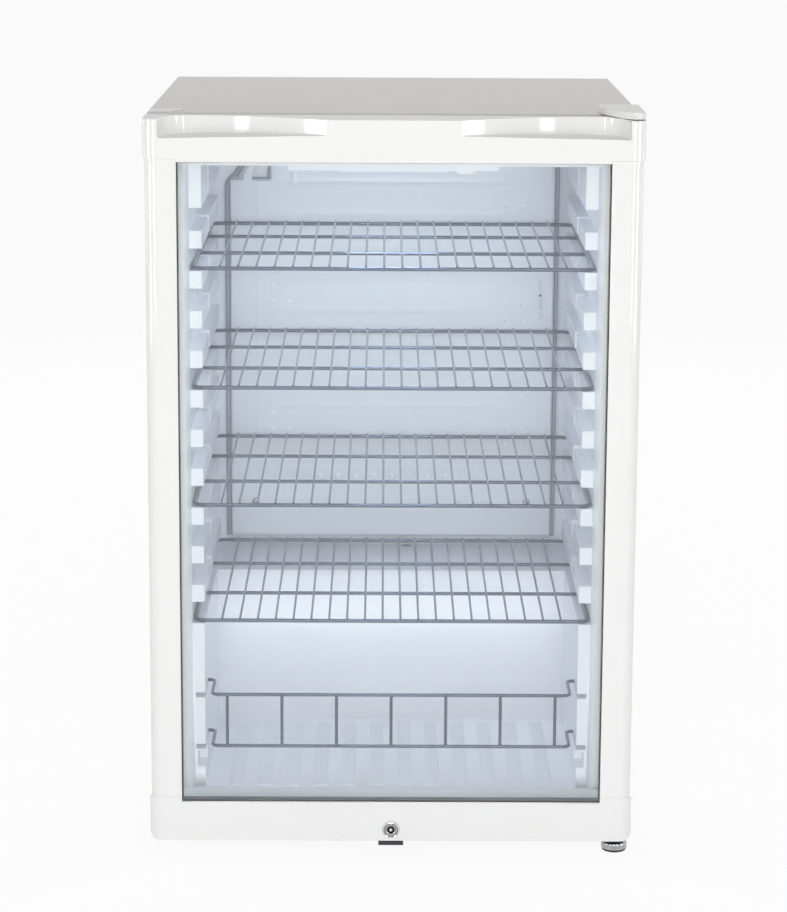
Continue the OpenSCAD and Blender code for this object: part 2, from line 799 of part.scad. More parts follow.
// Plan of the upper hinge cover: wide on the worktop, narrowing to the door's corner.
module cover_plan(inset) {
    x1 = half_w - 1 - inset;
    x0 = hinge_x - 29 + inset;
    y0 = front + 9 + inset;
    corner = 4;
    polygon([
        [x0, case_front + 33 - inset], [x0, case_front - 2], [hinge_x - 9 + inset, front + 24],
        [hinge_x + 4, y0], [x1 - corner, y0], [x1, y0 + corner], [x1, case_front + 33 - inset]
    ]);
}

module hinge_cover() {
    color("white") difference() {
        translate([0, 0, worktop_z]) linear_extrude(cover_h) cover_plan(0);
        translate([0, 0, worktop_z - over])
            linear_extrude(cover_h - cover_wall + over) cover_plan(cover_wall);
    }
}

// Screws of the upper and lower hinge plates.
module hinge_screws() {
    color("silver") {
        for (x = hinge_screw_x) translate([x, case_front + 18, worktop_z + bracket_t]) union() {
            cylinder(r = 4.6, h = 2.2);
            translate([0, 0, -bracket_t]) cylinder(r = 2.5, h = bracket_t + 0.5);
        }
        for (y = [front + 100, front + 135])
            translate([hinge_x - 4, y, base_z - 2 - bracket_t]) union() {
                translate([0, 0, -2.2]) cylinder(r = 4.6, h = 2.2);
                cylinder(r = 2.5, h = bracket_t);
            }
    }
}

// Blanking piece over the unused hinge holes on the other side.
module hinge_hole_plug() {
    y0 = case_front + 1;
    color("white") translate([0, 0, worktop_z]) linear_extrude(1.4)
        polygon([
            [-half_w + 2, y0], [-half_w + 26, y0], [-half_w + 41, y0 + 26], [-half_w + 2, y0 + 26]
        ]);
}

// Catch plate under the door that the lock's cam drops into.
keeper_half = 14.2;
module lock_keeper() {
    z = base_z - 2;
    y0 = front + 3;
    color("#3a3a3c") difference() {
        union() {
            block([-keeper_half, y0, z - 1], [keeper_half, case_front + frame_t + 20, z + 1]);
            block([-keeper_half, y0, z - 1.4], [keeper_half, y0 + 2, z + 3.4]);
            block([-keeper_half, case_front + frame_t + 6, z],
                  [keeper_half, case_front + frame_t + 20, base_z]);
        }
        block([-cam_w / 2 - 2.5, barrel_y1 - 2, z - 4], [12, barrel_y1 + cam_t + 5, z + 4]);
    }
}

// Levelling foot: moulded pad and threaded stud.
module level_foot(x, y, top) {
    color("#8a8d90") union() {
        rod_z([x, y, 0], foot_r, foot_pad_h - 2);
        translate([x, y, foot_pad_h - 2]) cylinder(r1 = foot_r, r2 = foot_r - 4, h = 2.5);
        rod_z([x, y, foot_pad_h], stud_r - 0.3, top - foot_pad_h);
    }
}

module foot_left() level_foot(-foot_x, foot_y, base_z + stud_up);
module foot_right() level_foot(hinge_x, hinge_y, base_z - 2 - bracket_t - clear);

// Fixed feet under the compressor plate.
module rear_feet() {
    color("#1b1b1b") for (side = [-1, 1]) union() {
        rod_z([side * foot_x, rear_foot_y, 0], foot_r, plate_z - 2);
        rod_z([side * foot_x, rear_foot_y, plate_z - 2.5], stud_r, 3 + 2.5);
    }
}

// Two-dimensional outline of a side profile, with its outer front corner rounded.
module profile_outline(x_out, r) {
    difference() {
        translate([window_x, front]) square([x_out - window_x, door_t]);
        translate([x_out - r, front - over]) square([r + over, r + over]);
    }
    intersection() {
        translate([x_out - r, front + r]) circle(r = r, $fn = 64);
        translate([x_out - r, front]) square([r, r + 0.01]);
    }
}

// Hollow extruded side profile with its glazing rebate.
module door_profile(side) {
    w = profile_wall;
    color("white") mirror([side < 0 ? 1 : 0, 0, 0]) translate([0, 0, profile_z0])
        linear_extrude(profile_z1 - profile_z0) difference() {
            profile_outline(rail_x, edge_r);
            translate([window_x - over, front + lip_t])
                square([rebate_x - window_x + over, door_t]);
            difference() {
                translate([rebate_x + w, front + w])
                    square([rail_x - rebate_x - 2 * w, door_t - 2 * w]);
                translate([rail_x - edge_r, front]) square([edge_r, edge_r]);
            }
        }
}

module door_profile_left() door_profile(-1);
module door_profile_right() door_profile(1);

// A full-width moulded block with rounded front corners, from z0 to z1.
module cap_block(z0, z1) {
    translate([0, 0, z0]) linear_extrude(z1 - z0) union() {
        profile_outline(half_w, edge_r + 2);
        mirror([1, 0, 0]) profile_outline(half_w, edge_r + 2);
        translate([-window_x - over, front]) square([2 * (window_x + over), door_t]);
    }
}

// One finger scoop: an arc that deepens towards the door's side and closes in a short curve,
// over a floor that falls a little towards the side.
scoop_x = half_w - 17;
scoop_turn = half_w - 50;
module scoop() {
    run = scoop_turn - scoop_inner;
    r = (run * run + scoop_depth * scoop_depth) / (2 * scoop_depth);
    lip = door_top - scoop_h;
    intersection() {
        translate([0, 0, lip - 6]) linear_extrude(scoop_h + 6 + over) polygon([
            [scoop_inner, front - over],
            for (i = [0 : 24]) let (x = scoop_inner + run * i / 24)
                [x, front + scoop_depth - r + sqrt(r * r - pow(scoop_turn - x, 2))],
            for (i = [1 : 12]) [
                scoop_turn + (scoop_x - scoop_turn) * sin(i * 7.5),
                front + scoop_depth * cos(i * 7.5)
            ],
            [scoop_x, front - over]
        ]);
        translate([scoop_inner, 0, lip + 1]) rotate([0, 1.06, 0])
            block([-20, front - 2 * over, 0], [scoop_x, door_back, 3 * scoop_h]);
    }
}

// Top rail of the door, with the two finger scoops and the upper hinge bore.
module door_top_cap() {
    color("white") difference() {
        union() {
            cap_block(profile_z1, door_top);
            block([-window_x, front, window_z1], [window_x, door_back, profile_z1 + over]);
        }
        block([-rebate_x, front + lip_t, window_z1 - over], [rebate_x, door_back + over, rebate_z1]);
        scoop();
        mirror([1, 0, 0]) scoop();
        rod_z([hinge_x, hinge_y, door_top - 20], bush_r, 20 + over);
    }
}

// Bottom rail of the door, with the lower hinge bore and the lock's pockets.
module door_bottom_cap() {
    color("white") difference() {
        union() {
            cap_block(door_bottom, window_z0);
            for (side = [0, 1]) mirror([side, 0, 0]) translate([0, 0, window_z0 - 0.01])
                linear_extrude(profile_z0 - window_z0 + 0.01) profile_outline(half_w, edge_r + 2);
        }
        block([-rebate_x, front + lip_t, rebate_z0], [rebate_x, door_back + over, profile_z0 + over]);
        // Rounded lower corners
        for (side = [0, 1]) mirror([side, 0, 0]) difference() {
            block([half_w - 10, front - over, door_bottom - over],
                  [half_w + over, door_back + over, door_bottom + 10]);
            rod_y([half_w - 10, front - 2, door_bottom + 10], 10, door_t + 4);
        }
        rod_z([hinge_x, hinge_y, door_bottom - over], bush_r, 20 + over);
        rod_y([0, front - over, lock_z], lock_d / 2 - 1.9, barrel_y1 - front + over);
        block([-cam_w / 2 - 3, barrel_y1 - 0.5, door_bottom - over],
              [cam_len + 3, barrel_y1 + cam_t + 3, lock_z + cam_w / 2 + 3]);
    }
}

// Sealed glass unit
module pane(y) {
    block([-window_x - glass_lap, y, window_z0 - glass_lap],
          [window_x + glass_lap, y + pane_t, window_z1 + glass_lap]);
}
module outer_glass() color("lightcyan", 0.3) pane(pane_y);
module inner_glass() color("lightcyan", 0.3) pane(inner_pane_y);

module glass_spacer() {
    x_out = window_x + glass_lap;
    color("#2b2b2b") window_ring(
        x_out - spacer_w, window_z0 - glass_lap + spacer_w, window_z1 + glass_lap - spacer_w,
        x_out, window_z0 - glass_lap, window_z1 + glass_lap, pane_y + pane_t, pane_gap
    );
}

// Inner frame that clamps the glass and carries the gasket.
module inner_frame() {
    color("white") window_ring(
        window_x + bead_in, window_z0 - bead_in, window_z1 + bead_in,
        rebate_x - 0.2, rebate_z0 + 0.2, rebate_z1 - 0.2, glass_back, door_back - glass_back
    );
}

// Magnetic gasket: base strip and sealing lip.
module gasket() {
    x_out = half_w - gasket_out;
    z0 = door_bottom + 10;
    z1 = door_top - 26;
    color("lightgray") union() {
        window_ring(x_out - gasket_w, z0 + gasket_w, z1 - gasket_w, x_out, z0, z1, gasket_y, 6);
        window_ring(x_out - gasket_w + 3, z0 + gasket_w - 3, z1 - gasket_w + 3,
            x_out - 3, z0 + 3, z1 - 3, gasket_y + 5.9, gasket_t - 5.9);
    }
}

// Plastic bushes in the door for the hinge pins.
module hinge_bushes() {
    color("whitesmoke") {
        for (z = [door_bottom, door_top - 20]) difference() {
            rod_z([hinge_x, hinge_y, z], bush_r, 20);
            rod_z([hinge_x, hinge_y, z - over], pin_d / 2 + pin_clear, 20 + 2 * over);
        }
    }
}

// Lock body with its bezel.
module lock_barrel() {
    color("silver") difference() {
        union() {
            rod_y([0, front - lock_proud, lock_z], lock_d / 2, lock_proud);
            rod_y([0, front - 0.5, lock_z], lock_d / 2 - 2, barrel_y1 - front - 0.5);
        }
        rod_y([0, front - lock_proud - over, lock_z], plug_r + pin_clear,
              barrel_y1 - front + lock_proud + 2 * over);
    }
}

// Key plug that turns in the barrel, with its keyway.
module lock_plug() {
    y0 = front - lock_proud + 0.8;
    color("gainsboro") difference() {
        rod_y([0, y0, lock_z], plug_r, barrel_y1 - y0 + 0.2);
        block([-0.8, y0 - over, lock_z - 3.6], [0.8, y0 + 9, lock_z + 3.6]);
    }
}

// Cam on the plug's inner end. It points sideways when the door is free.
module lock_cam() {
    y0 = barrel_y1 + 0.2;
    color("silver") union() {
        rod_y([0, y0, lock_z], cam_w / 2 + 1, cam_t);
        block([0, y0, lock_z - cam_w / 2], [cam_len, y0 + cam_t, lock_z + cam_w / 2]);
    }
}

// Screws of the back panel.
module panel_screws() {
    color("silver")
        for (side = [-1, 1], z = [bay_z1 + 20, (bay_z1 + worktop_z0) / 2, worktop_z0 - 20])
            translate([side * (half_w - 22), back_plane + sheet, z]) union() {
                rod_y([0, 0, 0], 3.8, 2);
                rod_y([0, -sheet, 0], 1.9, sheet + 0.5);
            }
}

side_panel_left();
side_panel_right();
worktop();
front_frame();
liner();
foam_insulation();
back_panel();
base_pan();
bay_wall();
compressor_plate();
compressor();
compressor_grommets();
compressor_bolts();
relay_cover();
discharge_pipe();
suction_pipe();
filter_drier();
capillary_tube();
condenser();
condenser_clips();
drip_tray();
drain_tube();
mains_gland();
evaporator_plate();
evaporator_studs();
thermostat_sensor();
lamp_housing();
lamp_lens();
rocker_switch();
thermostat_dial();
shelf_1();
shelf_2();
shelf_3();
shelf_4();
guard_rail();
lower_hinge_bracket();
lower_hinge_pin();
upper_hinge_bracket();
upper_hinge_pin();
hinge_cover();
hinge_screws();
hinge_hole_plug();
lock_keeper();
foot_left();
foot_right();
rear_feet();
door_top_cap();
door_bottom_cap();
door_profile_left();
door_profile_right();
outer_glass();
inner_glass();
glass_spacer();
inner_frame();
gasket();
hinge_bushes();
lock_barrel();
lock_plug();
lock_cam();
panel_screws();
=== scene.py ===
import json
import math

import bmesh
import bpy
import numpy as np
from mathutils import Matrix, Vector


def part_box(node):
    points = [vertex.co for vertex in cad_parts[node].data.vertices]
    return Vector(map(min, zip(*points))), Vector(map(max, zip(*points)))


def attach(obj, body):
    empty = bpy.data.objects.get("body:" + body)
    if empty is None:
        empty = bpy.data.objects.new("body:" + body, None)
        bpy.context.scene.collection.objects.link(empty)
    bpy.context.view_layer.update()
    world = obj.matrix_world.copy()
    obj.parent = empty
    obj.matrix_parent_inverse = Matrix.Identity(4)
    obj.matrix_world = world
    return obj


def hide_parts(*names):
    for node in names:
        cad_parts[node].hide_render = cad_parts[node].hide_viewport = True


bl_info = {
    "name": "Under-counter glass-door refrigerator",
    "version": (1, 0, 0),
    "blender": (4, 5, 0),
    "location": "3D View > Sidebar > Refrigerator",
    "description": "Finishes the packed refrigerator: mouldings, glass, wire shelves and plant",
    "category": "Object",
}

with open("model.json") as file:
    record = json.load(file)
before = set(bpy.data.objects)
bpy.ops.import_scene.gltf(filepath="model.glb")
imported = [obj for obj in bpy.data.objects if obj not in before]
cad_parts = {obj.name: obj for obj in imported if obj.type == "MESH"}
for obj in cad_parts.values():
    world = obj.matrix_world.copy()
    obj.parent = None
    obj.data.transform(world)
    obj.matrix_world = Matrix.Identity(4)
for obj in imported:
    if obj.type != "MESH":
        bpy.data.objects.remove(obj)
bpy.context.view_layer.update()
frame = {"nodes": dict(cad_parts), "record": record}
MM = 0.001
RECORD = frame["record"]
BODY_OF = {n: body for body, nodes in RECORD["behaviour"]["bodies"].items() for n in nodes}
SLOT_OF = {row["node"]: row["material_slot"] for row in RECORD["subparts"]}


# ---------------------------------------------------------------- settings


def linear(hex_colour):
    """An sRGB hex colour such as F1F1F0 as linear red, green and blue."""
    parts = [int(hex_colour[i : i + 2], 16) / 255 for i in (0, 2, 4)]
    return tuple(c / 12.92 if c <= 0.04045 else ((c + 0.055) / 1.055) ** 2.4 for c in parts)


def colour(name, description, hex_colour):
    return bpy.props.FloatVectorProperty(
        name=name, description=description, subtype="COLOR", size=3, min=0, max=1,
        default=linear(hex_colour),
    )


def length(name, description, millimetres):
    return bpy.props.FloatProperty(
        name=name, description=description, default=millimetres * MM, min=0,
        subtype="DISTANCE", unit="LENGTH",
    )


def angle(name, description, degrees):
    return bpy.props.FloatProperty(
        name=name, description=description, default=math.radians(degrees), subtype="ANGLE",
        unit="ROTATION",
    )


class CabinetSettings(bpy.types.PropertyGroup):
    """Finishes and edges of the outer cabinet."""

    casing: colour("Casing", "Powder coat on the side panels and face frame", "F0F0EF")
    worktop: colour("Worktop", "Laminate on the worktop", "DFDDD8")
    worktop_edge: length("Worktop edge", "Radius of the worktop's edges", 2.0)
    sheet_edge: length("Sheet edge", "Radius on the edges of folded sheet", 0.4)


class DoorSettings(bpy.types.PropertyGroup):
    """Finishes and edges of the door."""

    moulding: colour("Moulding", "Gloss ABS of the rails and profiles", "F2F2F1")
    gasket: colour("Gasket", "Soft PVC of the magnetic gasket", "C9CCCC")
    cap_edge: length("Rail edge", "Radius on the edges of the top and bottom rails", 2.2)
    frame_corner: length("Frame corner", "Radius of the inner frame's corners", 3.0)
    scoop_fillet: length("Scoop fillet", "Radius between a finger scoop's wall and its floor", 1.8)
    profile_edge: length("Profile edge", "Radius on the window side of the profiles", 0.8)


class InteriorSettings(bpy.types.PropertyGroup):
    """Finishes and sizes of the liner, evaporator and wire goods."""

    liner: colour("Liner", "Vacuum-formed styrene", "F2F5FD")
    plate: colour("Evaporator", "Lacquer on the evaporator plate", "D8DEE9")
    # The wire's dark blue-grey is painted reflection of the interior.
    wire: colour("Wire", "Plating on the shelves and the rail", "525E74")
    lamp: bpy.props.FloatProperty(
        name="Lamp", description="Strength of the interior lamp's lit face", default=112.0, min=0)
    rib_edge: length("Rib edge", "Radius on the liner's ribs and corners", 3.0)
    channel_height: length("Channel height", "How far the refrigerant channels stand up", 0.26)
    channel_width: length("Channel width", "Width of a refrigerant channel", 9.0)
    ridge_height: length("Floor ridge", "How far the floor's ridges stand up", 1.1)


class PlantSettings(bpy.types.PropertyGroup):
    """Finishes and sizes of the cooling plant."""

    enamel: colour("Enamel", "Enamel on the compressor and condenser", "1A1B1E")
    copper: colour("Copper", "Drawn copper tube", "C98A66")
    pipe_bend: length("Pipe bend", "Radius of the bends in the pipes", 12.0)


class StageSettings(bpy.types.PropertyGroup):
    """Camera, floor and lamps."""

    camera_place: bpy.props.FloatVectorProperty(
        name="Camera place", description="Where the camera stands", size=3,
        default=(-0.01141, -3.49439, 1.14), subtype="XYZ", unit="LENGTH",
    )
    yaw: angle("Yaw", "Turn of the camera towards the right", 0.22)
    pitch: angle("Pitch", "Tilt of the camera below the horizon", 11.777)
    roll: angle("Roll", "Turn of the camera about its line of sight", 0.293)
    lens: bpy.props.FloatProperty(
        name="Lens", description="Focal length on a 36 mm long side, in millimetres",
        default=116.4, min=10,
    )
    floor: colour("Floor", "Painted studio floor", "F4F4F4")
    ambient: bpy.props.FloatProperty(
        name="Ambient", description="Strength of the light from all round", default=0.45, min=0,
    )


# ---------------------------------------------------------------- node helpers


def add(tree, kind, settings=None, links=None):
    """Adds a node with its settings, and links its inputs to other nodes' outputs."""
    node = tree.nodes.new(kind)
    for key, value in (settings or {}).items():
        if isinstance(key, str) and hasattr(node, key):
            setattr(node, key, value)
        else:
            node.inputs[key].default_value = value
    for key, source in (links or {}).items():
        tree.links.new(source, node.inputs[key])
    return node


def opaque(rgb):
    return (rgb[0], rgb[1], rgb[2], 1.0)


def shaded(rgb, share):
    """A colour made darker or lighter by a share of itself."""
    return tuple(min(1.0, c * share) for c in rgb)


# ---------------------------------------------------------------- materials


def blank_material(name):
    """An empty material, its tree, and the Object coordinate in it."""
    material = bpy.data.materials.new(name)
    material.use_nodes = True
    tree = material.node_tree
    tree.nodes.clear()
    return material, tree, add(tree, "ShaderNodeTexCoord").outputs["Object"]


def end_material(tree, shader):
    add(tree, "ShaderNodeOutputMaterial", links={"Surface": shader.outputs[0]})


def mix_colours(tree, dark, light, share):
    """A colour between two, by another node's output."""
    return add(tree, "ShaderNodeMix", {"data_type": "RGBA", 6: opaque(dark), 7: opaque(light)},
               {0: share}).outputs[2]


def larger(tree, one, two):
    return add(tree, "ShaderNodeMath", {"operation": "MAXIMUM"}, {0: one, 1: two}).outputs[0]


def tone(setting, value):
    """A hex colour, or a share of the colour in a setting such as door.moulding."""
    if isinstance(value, str):
        return linear(value)
    group, field = setting.split(".")
    return shaded(getattr(getattr(bpy.context.scene, "fridge_" + group), field), value)


def surface(name, setting, dark, light, patch_mm, smooth, dull, grain_mm, depth_mm,
            stretch=(1, 1, 1), **shader):
    """A solid finish. Colour and roughness drift over patches, and a finer grain lifts it."""
    material, tree, place = blank_material(name)
    spread = add(tree, "ShaderNodeMapping", {"Scale": stretch}, {"Vector": place}).outputs[0]
    patch = add(tree, "ShaderNodeTexNoise", {"Scale": 1 / (patch_mm * MM), "Detail": 3.0},
                {"Vector": spread}).outputs["Fac"]
    tint = mix_colours(tree, tone(setting, dark), tone(setting, light), patch)
    rough = add(tree, "ShaderNodeMapRange", {
        "From Min": 0.1, "From Max": 0.9, "To Min": smooth, "To Max": dull}, {"Value": patch})
    grain = add(tree, "ShaderNodeTexNoise", {"Scale": 1 / (grain_mm * MM), "Detail": 2.0},
                {"Vector": spread})
    lift = add(tree, "ShaderNodeBump", {"Strength": 1.0, "Distance": depth_mm * MM},
               {"Height": grain.outputs["Fac"]})
    end_material(tree, add(tree, "ShaderNodeBsdfPrincipled", shader, {
        "Base Color": tint, "Roughness": rough.outputs[0], "Normal": lift.outputs[0]}))
    return material


def galvanised():
    """Hot-dip galvanised sheet: flat crystals of zinc about 9 mm across, each a different grey."""
    material = surface("galvanised_sheet", None, "9EA3A6", "C3C7CA", 9, 0.32, 0.5, 1.5, 0.01,
                       Metallic=1.0)
    tree = material.node_tree
    place = tree.nodes["Texture Coordinate"].outputs["Object"]
    crystal = add(tree, "ShaderNodeTexVoronoi", {"Scale": 1 / (9 * MM)}, {"Vector": place})
    grey = add(tree, "ShaderNodeSeparateColor", None, {"Color": crystal.outputs["Color"]})
    tint = mix_colours(tree, linear("969B9F"), linear("CDD0D2"), grey.outputs[0])
    tree.links.new(tint, tree.nodes["Principled BSDF"].inputs["Base Color"])
    return material


def light_strip():
    """The lit face of the lamp: bright and cool, with the diodes showing 9 mm apart."""
    material, tree, place = blank_material("lit_diode_strip")
    diodes = add(tree, "ShaderNodeTexVoronoi", {"Scale": 1 / (9 * MM)}, {"Vector": place})
    tint = mix_colours(tree, (0.86, 0.93, 1.0), (0.74, 0.84, 1.0), diodes.outputs["Distance"])
    end_material(tree, add(tree, "ShaderNodeBsdfPrincipled", {
        "Roughness": 0.2, "Emission Strength": bpy.context.scene.fridge_interior.lamp}, {
        "Base Color": tint, "Emission Color": tint}))
    return material


def float_glass():
    """Clear float glass: a faint green body, and lamps shine through it as through a window."""
    material, tree, place = blank_material("clear_float_glass")
    # Rolling of the glass bends a reflection over about 150 mm.
    wave = add(tree, "ShaderNodeTexNoise", {"Scale": 1 / (150 * MM), "Detail": 1.0},
               {"Vector": place})
    lift = add(tree, "ShaderNodeBump", {"Strength": 1.0, "Distance": 0.05 * MM},
               {"Height": wave.outputs["Fac"]})
    glass = add(tree, "ShaderNodeBsdfPrincipled", {
        "Base Color": (0.985, 0.995, 0.99, 1.0), "Roughness": 0.0, "IOR": 1.5,
        "Transmission Weight": 1.0}, {"Normal": lift.outputs[0]})
    clear = add(tree, "ShaderNodeBsdfTransparent", {"Color": (0.99, 0.996, 0.994, 1.0)})
    ray = add(tree, "ShaderNodeLightPath").outputs
    through = larger(tree, ray["Is Shadow Ray"], ray["Is Diffuse Ray"])
    end_material(tree, add(tree, "ShaderNodeMixShader", None, {
        0: through, 1: glass.outputs[0], 2: clear.outputs[0]}))
    return material


# Each row: material, the setting that its colours are shares of, dark and light colour as a share
# or in hex, patch in mm, least and most roughness, grain in mm, its depth in mm, other inputs.
FINISHES = {
    # Powder coat on steel: orange peel about 1.5 mm across, softer than the mouldings.
    "white_coated_steel": ("powder_coated_steel", "cabinet.casing", 0.985, 1, 140, 0.27, 0.31,
                           1.6, 0.02, {}),
    # High-pressure laminate: a dry pearl surface with a grain under 1 mm, drawn at 1.2 mm.
    "worktop_laminate": ("worktop_laminate", "cabinet.worktop", 0.96, 1, 60, 0.6, 0.7, 1.2, 0.015,
                         {"Specular IOR Level": 0.04}),
    # Injection-moulded gloss ABS: a faint ripple from the mould over a few millimetres.
    "white_moulding": ("gloss_abs", "door.moulding", 0.985, 1, 40, 0.05, 0.08, 9, 0.006,
                       {"IOR": 1.53}),
    # The same ABS with a fine spark-eroded texture, 0.8 mm across: dry, with hardly a sheen. Its
    # colour is a little darker than the gloss: painted shade, as on faces that look up.
    "satin_moulding": ("satin_abs", "door.moulding", 0.93, 0.97, 40, 0.6, 0.7, 0.8, 0.01,
                       {"Specular IOR Level": 0.05}),
    # Vacuum-formed high-impact styrene: slow waves about 30 mm long where the sheet drew thin.
    "liner_styrene": ("vacuum_formed_styrene", "interior.liner", 0.97, 1, 160, 0.24, 0.28, 30,
                      0.08, {"IOR": 1.59}),
    # Extruded rigid PVC: fine die lines along the frame, 2 mm apart.
    "inner_frame_pvc": ("extruded_rigid_pvc", None, "D6DBDD", "E2E6E8", 50, 0.35, 0.45, 2, 0.01,
                        {}),
    # Rigid polyurethane foam: cells of about 1 mm in an amber skin.
    "polyurethane_foam": ("rigid_polyurethane_foam", None, "D9C58A", "EADBA8", 25, 0.7, 0.9, 1,
                          0.2, {}),
    # Baked black enamel on steel: runs and dust over a few millimetres.
    "compressor_enamel": ("baked_black_enamel", "plant.enamel", 0.8, 1.5, 20, 0.28, 0.45, 2.5,
                          0.03, {}),
    # Moulded black rubber: dull, with a bloom in soft patches.
    "black_rubber": ("moulded_black_rubber", None, "18181A", "2C2C2E", 8, 0.6, 0.8, 0.8, 0.02, {}),
    # Bright zinc plate on turned steel: a slight blue cast and dull patches 4 mm wide.
    "zinc_screws": ("zinc_plated_steel", None, "A8ABB0", "C9CCD0", 4, 0.22, 0.38, 0.8, 0.006,
                    {"Metallic": 1.0}),
    # Black ABS from a spark-eroded mould: a texture of 0.6 mm, drawn at 1 mm.
    "black_moulding": ("textured_black_abs", None, "1C1D1F", "292A2D", 15, 0.42, 0.55, 1.0, 0.03,
                       {}),
    # Soft-drawn copper: oxide patches about 12 mm long along a bright pink ground.
    "copper_tube": ("drawn_copper", "plant.copper", 0.62, 1, 12, 0.22, 0.42, 1.5, 0.01,
                    {"Metallic": 1.0}),
    # Drawn aluminium tube: draw lines 1 mm apart and a dull oxide.
    "aluminium_tube": ("drawn_aluminium", None, "B4B8BD", "D2D5D9", 14, 0.28, 0.42, 1.0, 0.008,
                       {"Metallic": 1.0}),
    # Flexible grey PVC hose: soft sheen. The same finish paints the grey bands of shade along the
    # evaporator plate's edge and hole.
    "drain_pvc": ("flexible_grey_pvc", None, "7E8696", "8E96A8", 20, 0.4, 0.5, 3, 0.02, {}),
    # Roll-bonded aluminium under clear lacquer: rolling lines across the plate, 2 mm apart.
    "evaporator_aluminium": ("lacquered_roll_bond_aluminium", "interior.plate", 0.94, 1, 120,
                             0.26, 0.36, 2, 0.004, {"stretch": (0.04, 1, 1), "Metallic": 0.12}),
    # Opal acrylic round a lit strip: a milky gloss skin that lets a little light out sideways.
    "lamp_diffuser": ("opal_acrylic", None, "DDE6F2", "E8EFF8", 30, 0.12, 0.2, 3, 0.01,
                      {"Emission Color": (0.9, 0.95, 1.0, 1.0), "Emission Strength": 0.08}),
    # Bright nickel plate on drawn wire: draw marks and dull spots 3 mm long. Its dark blue-grey is
    # painted reflection of the blue interior that the wire mirrors.
    "shelf_wire": ("nickel_plated_wire", "interior.wire", 0.82, 1, 3, 0.08, 0.18, 0.8, 0.004,
                   {"Metallic": 1.0}),
    # Black passivated zinc on a pressed plate: brown-grey clouds 6 mm wide.
    "keeper_steel": ("black_passivated_zinc", None, "2C2B2C", "48464A", 6, 0.3, 0.5, 1.0, 0.01,
                     {"Metallic": 0.6}),
    # Thin chrome on a moulded foot: bright, with a few dull rubs 5 mm long.
    "foot_moulding": ("chromed_moulding", None, "8E9194", "BFC1C4", 5, 0.1, 0.28, 1.2, 0.01,
                      {"Metallic": 1.0}),
    # Soft gasket PVC: a satin skin with 1 mm ripples along the lips.
    "gasket_pvc": ("soft_gasket_pvc", "door.gasket", 0.9, 1, 18, 0.45, 0.6, 1.4, 0.03, {}),
    # Black edge sealant with the spacer inside it: satin, slightly lumpy over 5 mm.
    "spacer_black": ("black_edge_sealant", None, "141517", "242629", 20, 0.3, 0.45, 5, 0.04, {}),
    # Natural nylon bush: milky, with a waxy sheen.
    "bush_nylon": ("natural_nylon", None, "DCDAD2", "E8E6DF", 10, 0.35, 0.45, 2, 0.01, {}),
    # Polished chrome plate on the lock: nearly a mirror, with polishing haze 2 mm wide.
    "lock_chrome": ("polished_chrome", None, "C4C4C6", "DEDEDF", 2, 0.04, 0.1, 0.5, 0.002,
                    {"Metallic": 1.0}),
    # Painted shade: black on the lock's deep faces and on the bulb clip's screw, with wet streaks
    # 1 mm wide.
    "painted_shade_black": ("keyway_grease", None, "161616", "2C2A28", 1, 0.3, 0.6, 0.4, 0.01, {}),
}
FINISHES["dial_moulding"] = FINISHES["white_moulding"]
MAKERS = {"galvanised_steel": galvanised, "clear_glass": float_glass, "lit_strip": light_strip}
made_materials = {}


def material_for(slot):
    """The finish of a material slot, or one of the other finishes, made once."""
    if slot not in made_materials:
        if slot in MAKERS:
            made_materials[slot] = MAKERS[slot]()
        else:
            *values, other = FINISHES[slot]
            made_materials[slot] = surface(*values, **other)
    return made_materials[slot]


# ---------------------------------------------------------------- mesh helpers


def low(node):
    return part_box(node)[0]


def high(node):
    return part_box(node)[1]


def cad_mesh(node):
    """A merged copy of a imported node's mesh, with its flat faces joined."""
    mesh = bmesh.new()
    mesh.from_mesh(frame["nodes"][node].data)
    bmesh.ops.remove_doubles(mesh, verts=mesh.verts, dist=3e-6)
    bmesh.ops.dissolve_limit(
        mesh, angle_limit=math.radians(0.6), verts=mesh.verts, edges=mesh.edges)
    return mesh


def round_edges(mesh, width, segments=3, keep=None, sharper_than=35):
    """Rounds the edges that fold by more than an angle, where keep allows it."""
    edges = [
        e for e in mesh.edges
        if len(e.link_faces) == 2 and e.calc_face_angle(0) > math.radians(sharper_than)
        and (keep is None or keep((e.verts[0].co + e.verts[1].co) / 2, e))
    ]
    bmesh.ops.bevel(
        mesh, geom=edges, offset=width, offset_type="OFFSET", segments=segments, profile=0.5,
        affect="EDGES", clamp_overlap=True)
    return mesh


def plain_mesh(source, name):
    """A named mesh, from a mesh or from a bmesh, which is used up."""
    if isinstance(source, bmesh.types.BMesh):
        data = bpy.data.meshes.new(name)
        source.to_mesh(data)
        source.free()
        return data
    source.name = name
    return source


def placed(name, data):
    """An object with its data, in the scene."""
    thing = bpy.data.objects.new(name, data)
    bpy.context.scene.collection.objects.link(thing)
    return thing


def piece(name, source, node, stands_for=(), crease=40, finish=None):
    """Makes a finished piece from a bmesh or a mesh. It rides where its node rides."""
    data = plain_mesh(source, name)
    data.materials.clear()
    data.materials.append(material_for(finish or SLOT_OF[node]))
    data.shade_smooth()
    data.set_sharp_from_angle(angle=math.radians(crease))
    body = placed(name, data)
    even = body.modifiers.new("even_shading", "WEIGHTED_NORMAL")
    even.keep_sharp = True
    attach(body, BODY_OF[node])
    if stands_for:
        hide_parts(*stands_for)
    return body


def soften(node, width_mm, segments=3, sharper_than=35, finish=None):
    """Stands in for a node with a copy whose hard edges are rounded."""
    mesh = round_edges(cad_mesh(node), width_mm * MM, segments, None, sharper_than)
    return piece(node + "_finished", mesh, node, (node,), finish=finish)


